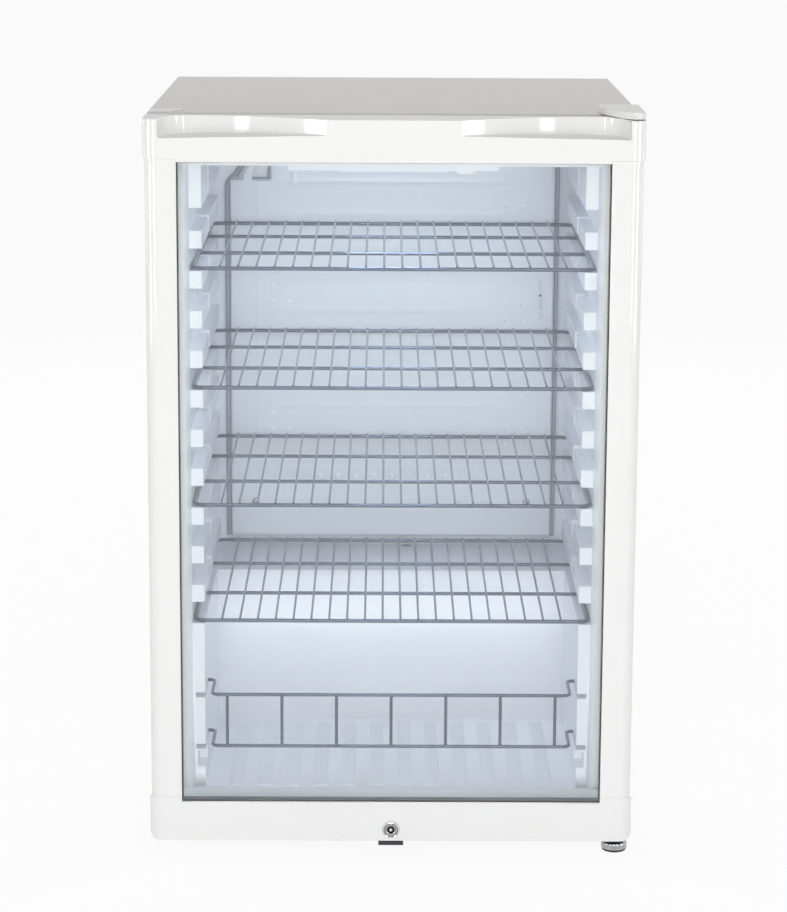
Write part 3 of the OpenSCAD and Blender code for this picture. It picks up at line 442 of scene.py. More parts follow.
def block(lowest, highest, edge_mm=0.0):
    """A block between two corners given in metres, with rounded edges."""
    mesh = bmesh.new()
    bmesh.ops.create_cube(mesh, size=1.0)
    lowest, highest = Vector(lowest), Vector(highest)
    for v in mesh.verts:
        v.co = (lowest + highest) / 2 + v.co * (highest - lowest)
    return round_edges(mesh, edge_mm * MM, 3) if edge_mm else mesh


def cut(mesh, cutter):
    """Takes a cutter's volume out of a closed bmesh. Both bmeshes are used up."""
    host, tool = [placed("cut", plain_mesh(source, "cut")) for source in (mesh, cutter)]
    blade = host.modifiers.new("cut", "BOOLEAN")
    blade.object, blade.operation, blade.solver = tool, "DIFFERENCE", "EXACT"
    blade.use_self = True
    ready = host.evaluated_get(bpy.context.evaluated_depsgraph_get())
    shaped = bmesh.new()
    shaped.from_mesh(ready.data)
    for thing in (host, tool):
        bpy.data.objects.remove(thing)
    return shaped


def turned(rings, centre, axis="Z", sides=48, closed=False, unit=MM):
    """Revolves (radius, height) rings about Z or Y. The ends meet, or each gets a lid."""
    mesh = bmesh.new()
    loops = []
    for ring in rings:
        radius, height = ring[0] * unit, ring[1] * unit
        loop = []
        for k in range(sides):
            a = 2 * math.pi * k / sides
            u, v = radius * math.cos(a), radius * math.sin(a)
            spot = (u, height, -v) if axis == "Y" else (u, v, height)
            loop.append(mesh.verts.new(Vector(centre) + Vector(spot)))
        loops.append(loop)
    pairs = list(zip(loops, loops[1:]))
    if closed:
        pairs.append((loops[-1], loops[0]))
    else:
        mesh.faces.new(loops[0][::-1])
        mesh.faces.new(loops[-1])
    for one, two in pairs:
        for k in range(sides):
            n = (k + 1) % sides
            mesh.faces.new((one[k], one[n], two[n], two[k]))
    bmesh.ops.recalc_face_normals(mesh, faces=mesh.faces)
    return mesh


def join(meshes):
    """One bmesh from several meshes or bmeshes."""
    whole = bmesh.new()
    for source in meshes:
        part = plain_mesh(source, "part")
        whole.from_mesh(part)
        bpy.data.meshes.remove(part)
    return whole


def swept_ring(section, half_width, bottom, top, y):
    """Sweeps a closed section of (out, deep) in mm round an opening, with mitred corners."""
    mesh = bmesh.new()
    loops = []
    for side, end in ((-1, -1), (1, -1), (1, 1), (-1, 1)):
        loop = []
        for out, deep in section:
            out, deep = out * MM, deep * MM
            z = bottom - out if end < 0 else top + out
            loop.append(mesh.verts.new((side * (half_width + out), y + deep, z)))
        loops.append(loop)
    for one, two in zip(loops, loops[1:] + loops[:1]):
        for i in range(len(section)):
            j = (i + 1) % len(section)
            mesh.faces.new((one[i], one[j], two[j], two[i]))
    bmesh.ops.recalc_face_normals(mesh, faces=mesh.faces)
    return mesh


# ---------------------------------------------------------------- growing trees


def start_tree(name, sockets):
    """A Geometry Nodes tree with named inputs, and its Group Input node."""
    tree = bpy.data.node_groups.new(name, "GeometryNodeTree")
    tree.interface.new_socket("Geometry", in_out="INPUT", socket_type="NodeSocketGeometry")
    for label, kind in sockets:
        tree.interface.new_socket(label, in_out="INPUT", socket_type="NodeSocket" + kind)
    tree.interface.new_socket("Material", in_out="INPUT", socket_type="NodeSocketMaterial")
    tree.interface.new_socket("Geometry", in_out="OUTPUT", socket_type="NodeSocketGeometry")
    return tree, add(tree, "NodeGroupInput")


def end_tree(tree, given, shape):
    """Ends a tree in Realize Instances and Set Material."""
    real = add(tree, "GeometryNodeRealizeInstances", None, {0: shape})
    painted = add(tree, "GeometryNodeSetMaterial", None, {
        "Geometry": real.outputs[0], "Material": given.outputs["Material"]})
    add(tree, "NodeGroupOutput", None, {0: painted.outputs[0]})
    return tree


def thicken(tree, given, line):
    """A round rod along a curve, of the tree's Radius and Sides."""
    ring = add(tree, "GeometryNodeCurvePrimitiveCircle", None, {
        "Resolution": given.outputs["Sides"], "Radius": given.outputs["Radius"]})
    return add(tree, "GeometryNodeCurveToMesh", {"Fill Caps": True}, {
        "Curve": line.outputs[0], "Profile Curve": ring.outputs[0]}).outputs[0]


def tube_tree():
    """Tubes along the host's edges, with round bends and closed ends."""
    tree, given = start_tree("tube_along_path", [
        ("Radius", "Float"), ("Bend Radius", "Float"), ("Sides", "Int")])
    line = add(tree, "GeometryNodeMeshToCurve", None, {"Mesh": given.outputs["Geometry"]})
    bent = add(tree, "GeometryNodeFilletCurve", {"mode": "POLY", "Count": 8, "Limit Radius": True},
               {"Curve": line.outputs[0], "Radius": given.outputs["Bend Radius"]})
    return end_tree(tree, given, thicken(tree, given, bent))


def bar_tree():
    """A row of straight round bars."""
    tree, given = start_tree("row_of_bars", [
        ("Count", "Int"), ("Start", "Vector"), ("Step", "Vector"), ("Bar", "Vector"),
        ("Radius", "Float"), ("Sides", "Int")])
    row = add(tree, "GeometryNodeMeshLine", {"mode": "OFFSET"}, {
        "Count": given.outputs["Count"], "Start Location": given.outputs["Start"],
        "Offset": given.outputs["Step"]})
    bar = add(tree, "GeometryNodeCurvePrimitiveLine", None, {"End": given.outputs["Bar"]})
    copies = add(tree, "GeometryNodeInstanceOnPoints", None, {
        "Points": row.outputs[0], "Instance": thicken(tree, given, bar)})
    return end_tree(tree, given, copies.outputs[0])


def fitting_tree():
    """One fitting, such as a screw head, at each of the host's points."""
    tree, given = start_tree("fitting_at_points", [("Fitting", "Object"), ("Turn", "Vector")])
    item = add(tree, "GeometryNodeObjectInfo", {"transform_space": "ORIGINAL"}, {
        "Object": given.outputs["Fitting"]})
    turn = add(tree, "FunctionNodeEulerToRotation", None, {0: given.outputs["Turn"]})
    spots = add(tree, "GeometryNodeMeshToPoints", None, {"Mesh": given.outputs["Geometry"]})
    placed = add(tree, "GeometryNodeInstanceOnPoints", None, {
        "Points": spots.outputs[0], "Instance": item.outputs["Geometry"],
        "Rotation": turn.outputs[0]})
    return end_tree(tree, given, placed.outputs[0])


TREE_MAKERS = {"tube": tube_tree, "bars": bar_tree, "fittings": fitting_tree}
made_trees = {}


def grown(kind, node, values, points=((0, 0, 0),), edges=()):
    """Runs a tree on a host of points and edges, and returns the plain mesh that it makes."""
    if kind not in made_trees:
        made_trees[kind] = TREE_MAKERS[kind]()
    tree = made_trees[kind]
    host_mesh = bpy.data.meshes.new("host")
    host_mesh.from_pydata([tuple(p) for p in points], list(edges), [])
    host = placed("host", host_mesh)
    grow = host.modifiers.new("grow", "NODES")
    grow.node_group = tree
    given = dict(values, Material=material_for(SLOT_OF[node]))
    for item in tree.interface.items_tree:
        if item.item_type == "SOCKET" and item.in_out == "INPUT" and item.name in given:
            grow[item.identifier] = given[item.name]
    ready = host.evaluated_get(bpy.context.evaluated_depsgraph_get())
    made = bpy.data.meshes.new_from_object(ready)
    bpy.data.objects.remove(host)
    bpy.data.meshes.remove(host_mesh)
    if not made.polygons:
        raise RuntimeError(f"the {kind} tree made nothing for {node}")
    return made


def tube(node, points, radius_mm, bend_mm, sides=20, closed=False):
    """A tube through points given in metres."""
    edges = [(i, i + 1) for i in range(len(points) - 1)]
    if closed:
        edges.append((len(points) - 1, 0))
    return grown("tube", node, {"Radius": radius_mm * MM, "Bend Radius": bend_mm * MM,
                                "Sides": sides}, points, edges)


def bars(node, count, start, step, bar, radius_mm, sides):
    """A row of equal straight bars, one step apart."""
    return grown("bars", node, {"Count": count, "Start": start, "Step": step, "Bar": bar,
                                "Radius": radius_mm * MM, "Sides": sides})


# ---------------------------------------------------------------- stage


def seen_directly(tree):
    """1 for rays from the camera, or that a mirror or glass passes on from it."""
    ray = add(tree, "ShaderNodeLightPath").outputs
    mirror = larger(tree, ray["Is Glossy Ray"], ray["Is Transmission Ray"])
    return larger(tree, mirror, ray["Is Camera Ray"])


def background_floor():
    """Matt studio paint that looks white to the eye, and still takes the object's shadow."""
    paint = bpy.context.scene.fridge_stage.floor
    material, tree, place = blank_material("matt_studio_paint")
    # Roller marks about 8 mm across.
    roller = add(tree, "ShaderNodeTexNoise", {"Scale": 1 / (8 * MM)}, {"Vector": place})
    tint = mix_colours(tree, shaded(paint, 0.99), paint, roller.outputs["Fac"])
    matt = add(tree, "ShaderNodeBsdfDiffuse", None, {"Color": tint})
    white = add(tree, "ShaderNodeEmission", {"Color": (1, 1, 1, 1), "Strength": 1.0})
    share = add(tree, "ShaderNodeMath", {"operation": "MULTIPLY", 1: 0.92},
                {0: seen_directly(tree)})
    end_material(tree, add(tree, "ShaderNodeMixShader", None, {
        0: share.outputs[0], 1: matt.outputs[0], 2: white.outputs[0]}))
    return material


def studio_world(strength):
    """Even light from all round, with a white background for the eye and for mirrors."""
    world = bpy.data.worlds.new("studio")
    world.use_nodes = True
    tree = world.node_tree
    tree.nodes.clear()
    soft, white = [add(tree, "ShaderNodeBackground", {"Color": (1, 1, 1, 1), "Strength": level})
                   for level in (strength, 1.0)]
    both = add(tree, "ShaderNodeMixShader", None, {
        0: seen_directly(tree), 1: soft.outputs[0], 2: white.outputs[0]})
    add(tree, "ShaderNodeOutputWorld", links={"Surface": both.outputs[0]})
    return world


def area_lamp(name, place, target, size, power, tint=(1, 1, 1)):
    """A rectangular lamp that faces a target and doesn't show to the camera."""
    lamp = bpy.data.lights.new(name, "AREA")
    lamp.shape = "RECTANGLE"
    lamp.size, lamp.size_y = size
    lamp.energy = power
    lamp.color = tint
    holder = placed(name, lamp)
    holder.location = place
    aim = Vector(target) - Vector(place)
    holder.rotation_mode = "QUATERNION"
    holder.rotation_quaternion = aim.to_track_quat("-Z", "Y")
    holder.visible_camera = False
    return holder


def add_camera(settings):
    """The scene's camera, from its place, turn, tilt and roll."""
    lens = bpy.data.cameras.new("camera")
    lens.sensor_width, lens.lens = 36.0, settings.lens
    lens.clip_start, lens.clip_end = 0.05, 200
    camera = placed("camera", lens)
    yaw, pitch, roll = settings.yaw, settings.pitch, settings.roll
    ahead = Vector((math.sin(yaw) * math.cos(pitch), math.cos(yaw) * math.cos(pitch),
                    -math.sin(pitch)))
    right = Vector((math.cos(yaw), -math.sin(yaw), 0))
    up = right.cross(ahead)
    across = right * math.cos(roll) + up * math.sin(roll)
    above = up * math.cos(roll) - right * math.sin(roll)
    turn = Matrix((across, above, -ahead)).transposed().to_4x4()
    camera.matrix_world = Matrix.Translation(settings.camera_place) @ turn
    bpy.context.scene.camera = camera


class FRIDGE_OT_stage(bpy.types.Operator):
    """Make the studio: floor, lamps, world and camera"""

    bl_idname = "fridge.stage"
    bl_label = "Studio"

    def execute(self, context):
        scene = context.scene
        settings = scene.fridge_stage
        floor = bmesh.new()
        bmesh.ops.create_grid(floor, x_segments=1, y_segments=1, size=60)
        ground = placed("studio_floor", plain_mesh(floor, "studio_floor"))
        ground.data.materials.append(background_floor())
        scene.world = studio_world(settings.ambient)
        middle, upright = (0, 0, 0.45), (0, 0, 1.15)
        area_lamp("overhead", (0.0, 0.2, 3.0), middle, (2.2, 1.6), 7)
        area_lamp("front", (0.0, -3.9, 1.35), middle, (1.2, 1.6), 30)
        # These two light surfaces and never show as reflections.
        for fill in (
                area_lamp("low_front", (0.0, -3.3, 0.6), middle, (1.6, 0.8), 20),
                area_lamp("under_shelves", (0.0, -0.04, 0.245), (0, -0.04, 0), (0.36, 0.3), 0.09,
                          (0.8, 0.87, 1.0))):
            fill.visible_glossy = fill.visible_transmission = False
        for side, tint in ((-1, (1.0, 0.99, 0.97)), (1, (0.98, 0.99, 1.0))):
            # The strip and the card only show as reflections.
            strip = area_lamp("strip", (side * 1.95, -3.45, 1.15), upright, (0.42, 2.2), 25, tint)
            card = area_lamp("card", (side * 3.25, -1.5, 1.15), upright, (0.8, 2.2), 30, tint)
            strip.visible_diffuse = card.visible_diffuse = False
            area_lamp("side", (side * 3.3, -1.3, 1.15), upright, (0.8, 2.2), 9.5, tint)
            area_lamp("flank", (side * 2.8, 1.2, 1.2), middle, (0.8, 2.0), 8, tint)
        area_lamp("rear_fill", (0.0, 3.2, 1.8), middle, (2.0, 1.4), 18)
        add_camera(settings)
        scene.view_settings.view_transform = "Standard"
        return {"FINISHED"}


# ---------------------------------------------------------------- cabinet


class FRIDGE_OT_casing(bpy.types.Operator):
    """Make the outer cabinet: panels, worktop, face frame and base"""

    bl_idname = "fridge.casing"
    bl_label = "Casing"

    def execute(self, context):
        settings = context.scene.fridge_cabinet
        sheet = settings.sheet_edge / MM
        for node in ("side_panel_left", "side_panel_right", "front_frame", "back_panel",
                     "base_pan", "bay_wall", "compressor_plate"):
            soften(node, sheet, 2)
        soften("worktop", settings.worktop_edge / MM, 4)
        soften("foam_insulation", 0.3, 1)
        return {"FINISHED"}


def rail_sockets(shape):
    """Cuts the liner's walls out where the guard rail's hooked ends go in, and below them."""
    lowest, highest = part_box("guard_rail")
    wall_y, inner = lowest.y - 4 * MM, highest.x - 8 * MM
    heights = (lowest.z + 2 * MM, highest.z - 2 * MM)
    for side in (-1, 1):
        for z in heights:
            spans = [((inner, wall_y, z - 3 * MM),
                      (inner + 14 * MM, highest.y + 2 * MM, z + 3 * MM))]
            if z == heights[0]:
                spans.append(((inner, wall_y, z - 24 * MM),
                              (inner + 12 * MM, wall_y + 38 * MM, z - 5 * MM)))
            for (near_x, *near), (far_x, *far) in spans:
                xs = sorted((side * near_x, side * far_x))
                shape = cut(shape, block((xs[0], *near), (xs[1], *far)))
    return shape


class FRIDGE_OT_liner(bpy.types.Operator):
    """Make the moulded liner with rounded ribs and the ridges of its floor"""

    bl_idname = "fridge.liner"
    bl_label = "Liner"

    def execute(self, context):
        settings = context.scene.fridge_interior
        lowest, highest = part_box("liner")
        front = lowest.y

        def inside(spot, edge):
            return (spot.y > front + 4 * MM and abs(spot.x) < highest.x - 15 * MM
                    and lowest.z + 17 * MM < spot.z < highest.z - 17 * MM)

        mesh = round_edges(rail_sockets(cad_mesh("liner")), settings.rib_edge, 3, inside)
        piece("liner_moulding", mesh, "liner", ("liner",), crease=50)

        floor_z = lowest.z + 16 * MM
        start, end = front + 22 * MM, low("guard_rail").y + 258 * MM
        count, pitch, radius = 12, 33 * MM, 8
        ridges = join([bars("liner", count, (-(count - 1) / 2 * pitch, start, floor_z),
                            (pitch, 0, 0), (0, end - start, 0), radius, 28)])
        for v in ridges.verts:
            v.co.z = floor_z + (v.co.z - floor_z) * settings.ridge_height / (radius * MM)
        piece("liner_floor_ridges", ridges, "liner")
        return {"FINISHED"}


# The evaporator plate: its refrigerant channel, its corner for the pipe, and its weld marks.
CHANNEL_ENDS = (-142 * MM, 155 * MM)
PASSES = 11
PASS_GAP = 41 * MM
RISER_X = -169 * MM
CORNER_RADIUS, HOLE_RADIUS, HOLE_WIDTH = 36 * MM, 24 * MM, 29 * MM
WELDS = [(x + across, z + along)  # in millimetres
         for x, z in ((-141.5, 577), (-141.5, 413), (155, 700), (155, 554), (155, 454), (155, 393))
         for across in (-10.2, 10.2) for along in (-10.2, 10.2)]
WELDS += [(-92 + k * 23, 341.5) for k in range(10)]


def plate_corner():
    """The x and z of the inner corner of the plate's cut-out, and the x its curves turn about."""
    lowest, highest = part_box("evaporator_plate")
    corner_x = lowest.x + 46 * MM
    return corner_x, highest.z - 51.5 * MM, corner_x + 6 * MM


def channel_path(top):
    """The channel's way down from a height: straight passes joined by round turns."""
    path = []
    for k in range(PASSES):
        z = top - k * PASS_GAP
        side = 1 if k % 2 == 0 else -1
        start, end = CHANNEL_ENDS[::side]
        path += [(start, z), (end, z)]
        for step in range(1, 8) if k < PASSES - 1 else ():
            a = math.pi * step / 8
            path.append((end + side * PASS_GAP / 2 * math.sin(a),
                         z - PASS_GAP / 2 + PASS_GAP / 2 * math.cos(a)))
    return path


def distance_to(path, x_grid, z_grid):
    """How far each point of a grid lies from a path of straight lines."""
    best = np.full(x_grid.shape, 1.0)
    for (ax, az), (bx, bz) in zip(path, path[1:]):
        dx, dz = bx - ax, bz - az
        length_2 = max(dx * dx + dz * dz, 1e-12)
        t = np.clip(((x_grid - ax) * dx + (z_grid - az) * dz) / length_2, 0, 1)
        best = np.minimum(best, np.hypot(x_grid - ax - t * dx, z_grid - az - t * dz))
    return best


def plate_relief(x_grid, z_grid, settings):
    """How far the plate's face stands up: the channel, the weld marks and one short bead."""
    bottom, corner_z = low("evaporator_plate").z, plate_corner()[1]
    top = corner_z - 2 * MM
    riser = [(RISER_X, corner_z - 14 * MM), (RISER_X, bottom + 60 * MM),
             (CHANNEL_ENDS[0], top - (PASSES - 1) * PASS_GAP)]
    half = settings.channel_width / 2
    away = np.minimum(distance_to(channel_path(top), x_grid, z_grid),
                      distance_to(riser, x_grid, z_grid))
    lift = np.where(away < half, 0.5 * (1 + np.cos(np.pi * np.minimum(away / half, 1))), 0)
    for x, z in WELDS:
        away = np.hypot(x_grid - x * MM, z_grid - z * MM)
        lift += 2.0 * np.clip(1 - away / (3.6 * MM), 0, 1)
    bead = np.hypot(x_grid + 125 * MM,
                    np.maximum(abs(z_grid - corner_z - 3 * MM) - 11 * MM, 0))
    lift += 3.0 * np.clip(1 - bead / (3.2 * MM), 0, 1)
    return np.clip(lift, 0, 3.4) * settings.channel_height


def plate_sheet(settings):
    """The embossed face of the plate, with its corner and the pipe's hole cut away."""
    lowest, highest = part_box("evaporator_plate")
    corner_x, corner_z, hub_x = plate_corner()
    xs = np.concatenate([np.linspace(lowest.x, corner_x, 20, endpoint=False),
                         np.linspace(corner_x, highest.x, 147)])
    zs = np.concatenate([np.linspace(lowest.z, corner_z, 184, endpoint=False),
                         np.linspace(corner_z, highest.z, 22)])
    lift = plate_relief(*np.meshgrid(xs, zs), settings)

    def cut_away(x, z):
        from_hub = math.hypot(x - hub_x, z - corner_z)
        if x < corner_x and z > corner_z and from_hub > CORNER_RADIUS:
            return True
        return (hub_x - HOLE_WIDTH < x < hub_x and from_hub < HOLE_RADIUS
                and corner_z + 1 * MM < z < corner_z + 16 * MM)

    mesh = bmesh.new()
    grid = [[mesh.verts.new((x, lowest.y - lift[j, i], z)) for i, x in enumerate(xs)]
            for j, z in enumerate(zs)]
    for j, (row, above) in enumerate(zip(grid, grid[1:])):
        for i in range(len(xs) - 1):
            if not cut_away((xs[i] + xs[i + 1]) / 2, (zs[j] + zs[j + 1]) / 2):
                mesh.faces.new((row[i], row[i + 1], above[i + 1], above[i]))
    bmesh.ops.delete(mesh, geom=[v for v in mesh.verts if not v.link_faces], context="VERTS")
    for v in mesh.verts:
        if v.is_boundary and v.co.z > corner_z + 1e-5:
            arm = Vector((v.co.x - hub_x, v.co.z - corner_z))
            for radius in (CORNER_RADIUS, HOLE_RADIUS):
                if arm.length and abs(arm.length - radius) < 2.4 * MM:
                    arm = arm.normalized() * radius
                    v.co.x, v.co.z = hub_x + arm.x, corner_z + arm.y
    bmesh.ops.recalc_face_normals(mesh, faces=mesh.faces)
    return mesh


def plate_fixings():
    """Makes the studs, the flush rivets and the dots over the welds. The dots' white is painted
    highlight: it stands in for glints on the weld marks.
    """
    face = low("evaporator_plate").y / MM
    lowest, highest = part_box("evaporator_studs")
    base, back = lowest.y / MM, highest.y / MM
    heads, lids = [], []
    for x in (-174, 174):
        heads.append(turned([(0.8, base), (2.4, base + 0.25), (4.0, base + 1.1), (4.9, base + 2.2),
                             (5, base + 3), (2.1, base + 3), (2.1, base + 4.6), (5, base + 4.7),
                             (5, back)], (x * MM, 0, lowest.z + 5 * MM), "Y", 28))
        lids.append(turned([(0.8, face - 0.2), (2.6, face - 0.12), (3.2, face + 0.2),
                            (2.1, face + 0.4), (2.1, back)],
                           (x * MM, 0, highest.z - 5 * MM), "Y", 28))
    piece("evaporator_rivets", join(heads), "evaporator_studs", ("evaporator_studs",), 50)
    piece("evaporator_flush_rivets", join(lids), "evaporator_plate", (), 50)
    # The weld dots take the white gloss moulding: painted highlights where the plate's weld marks
    # would catch the light.
    domes = [turned([(0.25, face - 1.5), (1.2, face - 1.2), (1.9, face - 0.2), (1.9, face + 0.4)],
                    (x * MM, 0, z * MM), "Y", 12) for x, z in WELDS]
    piece("evaporator_weld_domes", join(domes), "evaporator_plate", (), 60,
          finish="white_moulding")


def shadow_gap_cords():
    """Makes the grey cord on the plate's outline, which sleeves the pipe over its corner. The grey
    band is painted shade: it stands where the gap beside the plate lies in shadow.
    """
    lowest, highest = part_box("evaporator_plate")
    _, corner_z, hub_x = plate_corner()
    y = highest.y + 2.6 * MM
    left, right = lowest.x - 3.5 * MM, highest.x + 3 * MM
    path = [(left, lowest.z), (left, corner_z - 3 * MM), (left + 9 * MM, corner_z + 4 * MM),
            (hub_x - 35 * MM, corner_z + 21 * MM), (hub_x - 20 * MM, corner_z + 34 * MM),
            (hub_x - 2 * MM, corner_z + 39.5 * MM)]
    cords = [tube("drain_tube", [(x, y, z) for x, z in path], 3.4, 14, 18),
             tube("drain_tube", [(right, y, lowest.z), (right, y, highest.z)], 2.8, 0, 18)]
    piece("evaporator_edge_cords", join(cords), "evaporator_plate", finish="drain_pvc")
    # The grommet's grey bars are painted shade along the hole's right and lower edges.
    grommet = [block((hub_x - 4.5 * MM, highest.y, corner_z + 1 * MM),
                     (hub_x + 1 * MM, highest.y + 5 * MM, corner_z + 17 * MM), 0.8),
               block((hub_x - HOLE_WIDTH, highest.y, corner_z - 1 * MM),
                     (hub_x, highest.y + 5 * MM, corner_z + 2.6 * MM), 0.8)]
    piece("pipe_grommet", join(grommet), "evaporator_plate", finish="drain_pvc")


class FRIDGE_OT_evaporator(bpy.types.Operator):
    """Make the embossed evaporator plate, its studs, sleeve and thermostat bulb; the sleeving
    cords and the grommet are grey bands of painted shade
    """

    bl_idname = "fridge.evaporator"
    bl_label = "Evaporator"

    def execute(self, context):
        lowest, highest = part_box("evaporator_plate")
        plate = piece("evaporator_sheet", plate_sheet(context.scene.fridge_interior),
                      "evaporator_plate", ("evaporator_plate",), 60)
        wall = plate.modifiers.new("sheet", "SOLIDIFY")
        wall.thickness = (highest.y - lowest.y) * 0.94
        wall.offset = -1 if plate.data.polygons[0].normal.y < 0 else 1
        plate_fixings()
        soften("thermostat_sensor", 0.5, 2, finish="evaporator_aluminium")
        lowest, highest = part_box("thermostat_sensor")
        y = lowest.y / MM
        # The clip's screw is black: painted shade, standing in for a dark hole in the clip.
        screw = turned([(0.2, y - 0.7), (1.5, y - 0.5), (1.7, y + 0.3)],
                       ((lowest.x + highest.x) / 2, 0, lowest.z + 31 * MM), "Y", 16)
        piece("bulb_clip_screw", screw, "thermostat_sensor", finish="painted_shade_black")
        shadow_gap_cords()
        return {"FINISHED"}


class FRIDGE_OT_shelves(bpy.types.Operator):
    """Make the four wire shelves"""

    bl_idname = "fridge.shelves"
    bl_label = "Shelves"

    def execute(self, context):
        for k in range(1, 5):
            node = f"shelf_{k}"
            lowest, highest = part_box(node)
            rim, thin = 2.25, 1.3
            r = rim * MM
            z = lowest.z + r
            x = highest.x - r
            y0, y1 = lowest.y + r, highest.y - r
            parts = [tube(node, [(-x, y0, z), (x, y0, z), (x, y1, z), (-x, y1, z)], rim, 12, 20,
                          closed=True)]
            for back in (128, 275):
                y = y0 + back * MM
                parts.append(tube(node, [(-x, y, z), (x, y, z)], 2.1, 0, 18))
            count, pitch = 20, 20.6 * MM
            start = (-(count - 1) / 2 * pitch, y0 - 0.6 * MM, highest.z - thin * MM)
            parts.append(bars(node, count, start, (pitch, 0, 0), (0, y1 - y0 + 1.2 * MM, 0), thin,
                              12))
            piece(node + "_wires", join(parts), node, (node,))
        return {"FINISHED"}


class FRIDGE_OT_guard_rail(bpy.types.Operator):
    """Make the bottle rail with its hooked ends"""

    bl_idname = "fridge.guard_rail"
    bl_label = "Guard rail"

    def execute(self, context):
        node = "guard_rail"
        lowest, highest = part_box(node)
        r = 2 * MM
        y0, y1 = lowest.y + r, highest.y - r - 0.1 * MM
        leg, tip = 208 * MM, highest.x
        low_z, high_z = lowest.z + r + 0.1 * MM, highest.z - r - 0.1 * MM
        parts = []
        for z in (low_z, high_z):
            parts.append(tube(node, [(-tip, y1, z), (-leg, y1, z), (-leg, y0, z), (leg, y0, z),
                                     (leg, y1, z), (tip, y1, z)], 2, 8, 20))
        pitch = 63.6 * MM
        parts.append(bars(node, 7, (-3 * pitch, y0 + r, low_z), (pitch, 0, 0),
                          (0, 0, high_z - low_z), 1.8, 16))
        piece("guard_rail_wires", join(parts), node, (node,))
        return {"FINISHED"}


class FRIDGE_OT_controls(bpy.types.Operator):
    """Make the lamp housing, lens, switch and dial"""

    bl_idname = "fridge.controls"
    bl_label = "Lamp and controls"

    def execute(self, context):
        soften("lamp_housing", 1.6, 3)
        soften("lamp_lens", 0.8, 3)
        lowest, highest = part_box("lamp_lens")
        inset = Vector((4, 4, 0)) * MM
        face = block(lowest + inset - Vector((0, 0, 0.2 * MM)),
                     Vector((highest.x, highest.y, lowest.z + 0.2 * MM)) - inset, 0.12)
        piece("lamp_lit_face", face, "lamp_lens", finish="lit_strip")
        soften("rocker_switch", 0.5, 2)
        soften("thermostat_dial", 0.7, 3)
        return {"FINISHED"}


# ---------------------------------------------------------------- door


class FRIDGE_OT_door_frame(bpy.types.Operator):
    """Make the door's gloss mouldings: two rails and two profiles"""

    bl_idname = "fridge.door_frame"
    bl_label = "Door frame"

    def execute(self, context):
        settings = context.scene.fridge_door
        scoops_z = high("door_top_cap").z - 26 * MM

        def foot_of_scoop(spot, edge):
            upright = [abs(face.normal.z) for face in edge.link_faces]
            return (spot.z > scoops_z and not edge.is_convex
                    and max(upright) > 0.9 and min(upright) < 0.1)

        def through_corner(spot, edge):
            depth = abs(edge.verts[0].co.y - edge.verts[1].co.y)
            return not edge.is_convex and depth > 3 * MM

        rail = round_edges(cad_mesh("door_top_cap"), settings.scoop_fillet, 6, foot_of_scoop)
        rail = round_edges(rail, settings.cap_edge, 4)
        made = piece("door_top_rail", rail, "door_top_cap", ("door_top_cap",))
        # The faces that look up take the satin moulding, a little darker: painted shade.
        made.data.materials.append(material_for("satin_moulding"))
        for face in made.data.polygons:
            if face.normal.z > 0.95 and face.center.z > scoops_z:
                face.material_index = 1
        soften("door_bottom_cap", 1.2, 3)
        for node in ("door_profile_left", "door_profile_right"):
            soften(node, settings.profile_edge / MM, 2)
        inner = round_edges(cad_mesh("inner_frame"), settings.frame_corner, 8, through_corner)
        piece("inner_frame_finished", round_edges(inner, 1.0 * MM, 3), "inner_frame",
              ("inner_frame",))
        soften("hinge_bushes", 0.4, 2)
        return {"FINISHED"}


class FRIDGE_OT_glazing(bpy.types.Operator):
    """Make the sealed glass unit and the bellows gasket"""

    bl_idname = "fridge.glazing"
    bl_label = "Glazing"

    def execute(self, context):
        for node in ("outer_glass", "inner_glass"):
            soften(node, 0.5, 1)
        soften("glass_spacer", 0.3, 2)
        lowest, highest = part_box("gasket")
        width = 15 * MM
        deep = (highest.y - lowest.y) / MM
        bellows = [
            (1.5, 0), (13.5, 0), (15, 1.2), (13.2, 3.0), (13.2, 4.0), (14.6, 5.6), (11.8, 7.4),
            (11.8, 8.2), (12.8, 9.0), (12.8, deep - 0.8), (12.0, deep), (3.0, deep),
            (2.2, deep - 0.8), (2.2, 9.0), (3.2, 8.2), (3.2, 7.4), (0.4, 5.6), (1.8, 4.0),
            (1.8, 3.0), (0, 1.2)]
        mesh = swept_ring(bellows, highest.x - width, lowest.z + width, highest.z - width,
                          lowest.y)
        piece("gasket_bellows", mesh, "gasket", ("gasket",), 50)
        lowest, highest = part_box("outer_glass")
        lap = 6 * MM
        bead = swept_ring([(0.2, 0), (0, 0.3), (0, 1.6), (1.6, 1.6), (1.6, 0)],
                          highest.x - lap - 0.5 * MM, lowest.z + lap + 0.5 * MM,
                          highest.z - lap - 1.3 * MM, lowest.y - 1.7 * MM)
        piece("glazing_bead", bead, "glass_spacer")
        return {"FINISHED"}


def paint_recess_shade(made, axis, depth):
    """Paints the faces of a lock piece that lie deeper than a height black: painted shade in the
    lock's recesses.
    """
    made.data.materials.append(material_for("painted_shade_black"))
    for face in made.data.polygons:
        out = math.hypot(face.center.x - axis[0], face.center.z - axis[2])
        if face.center.y > depth and out < 8 * MM:
            face.material_index = 1


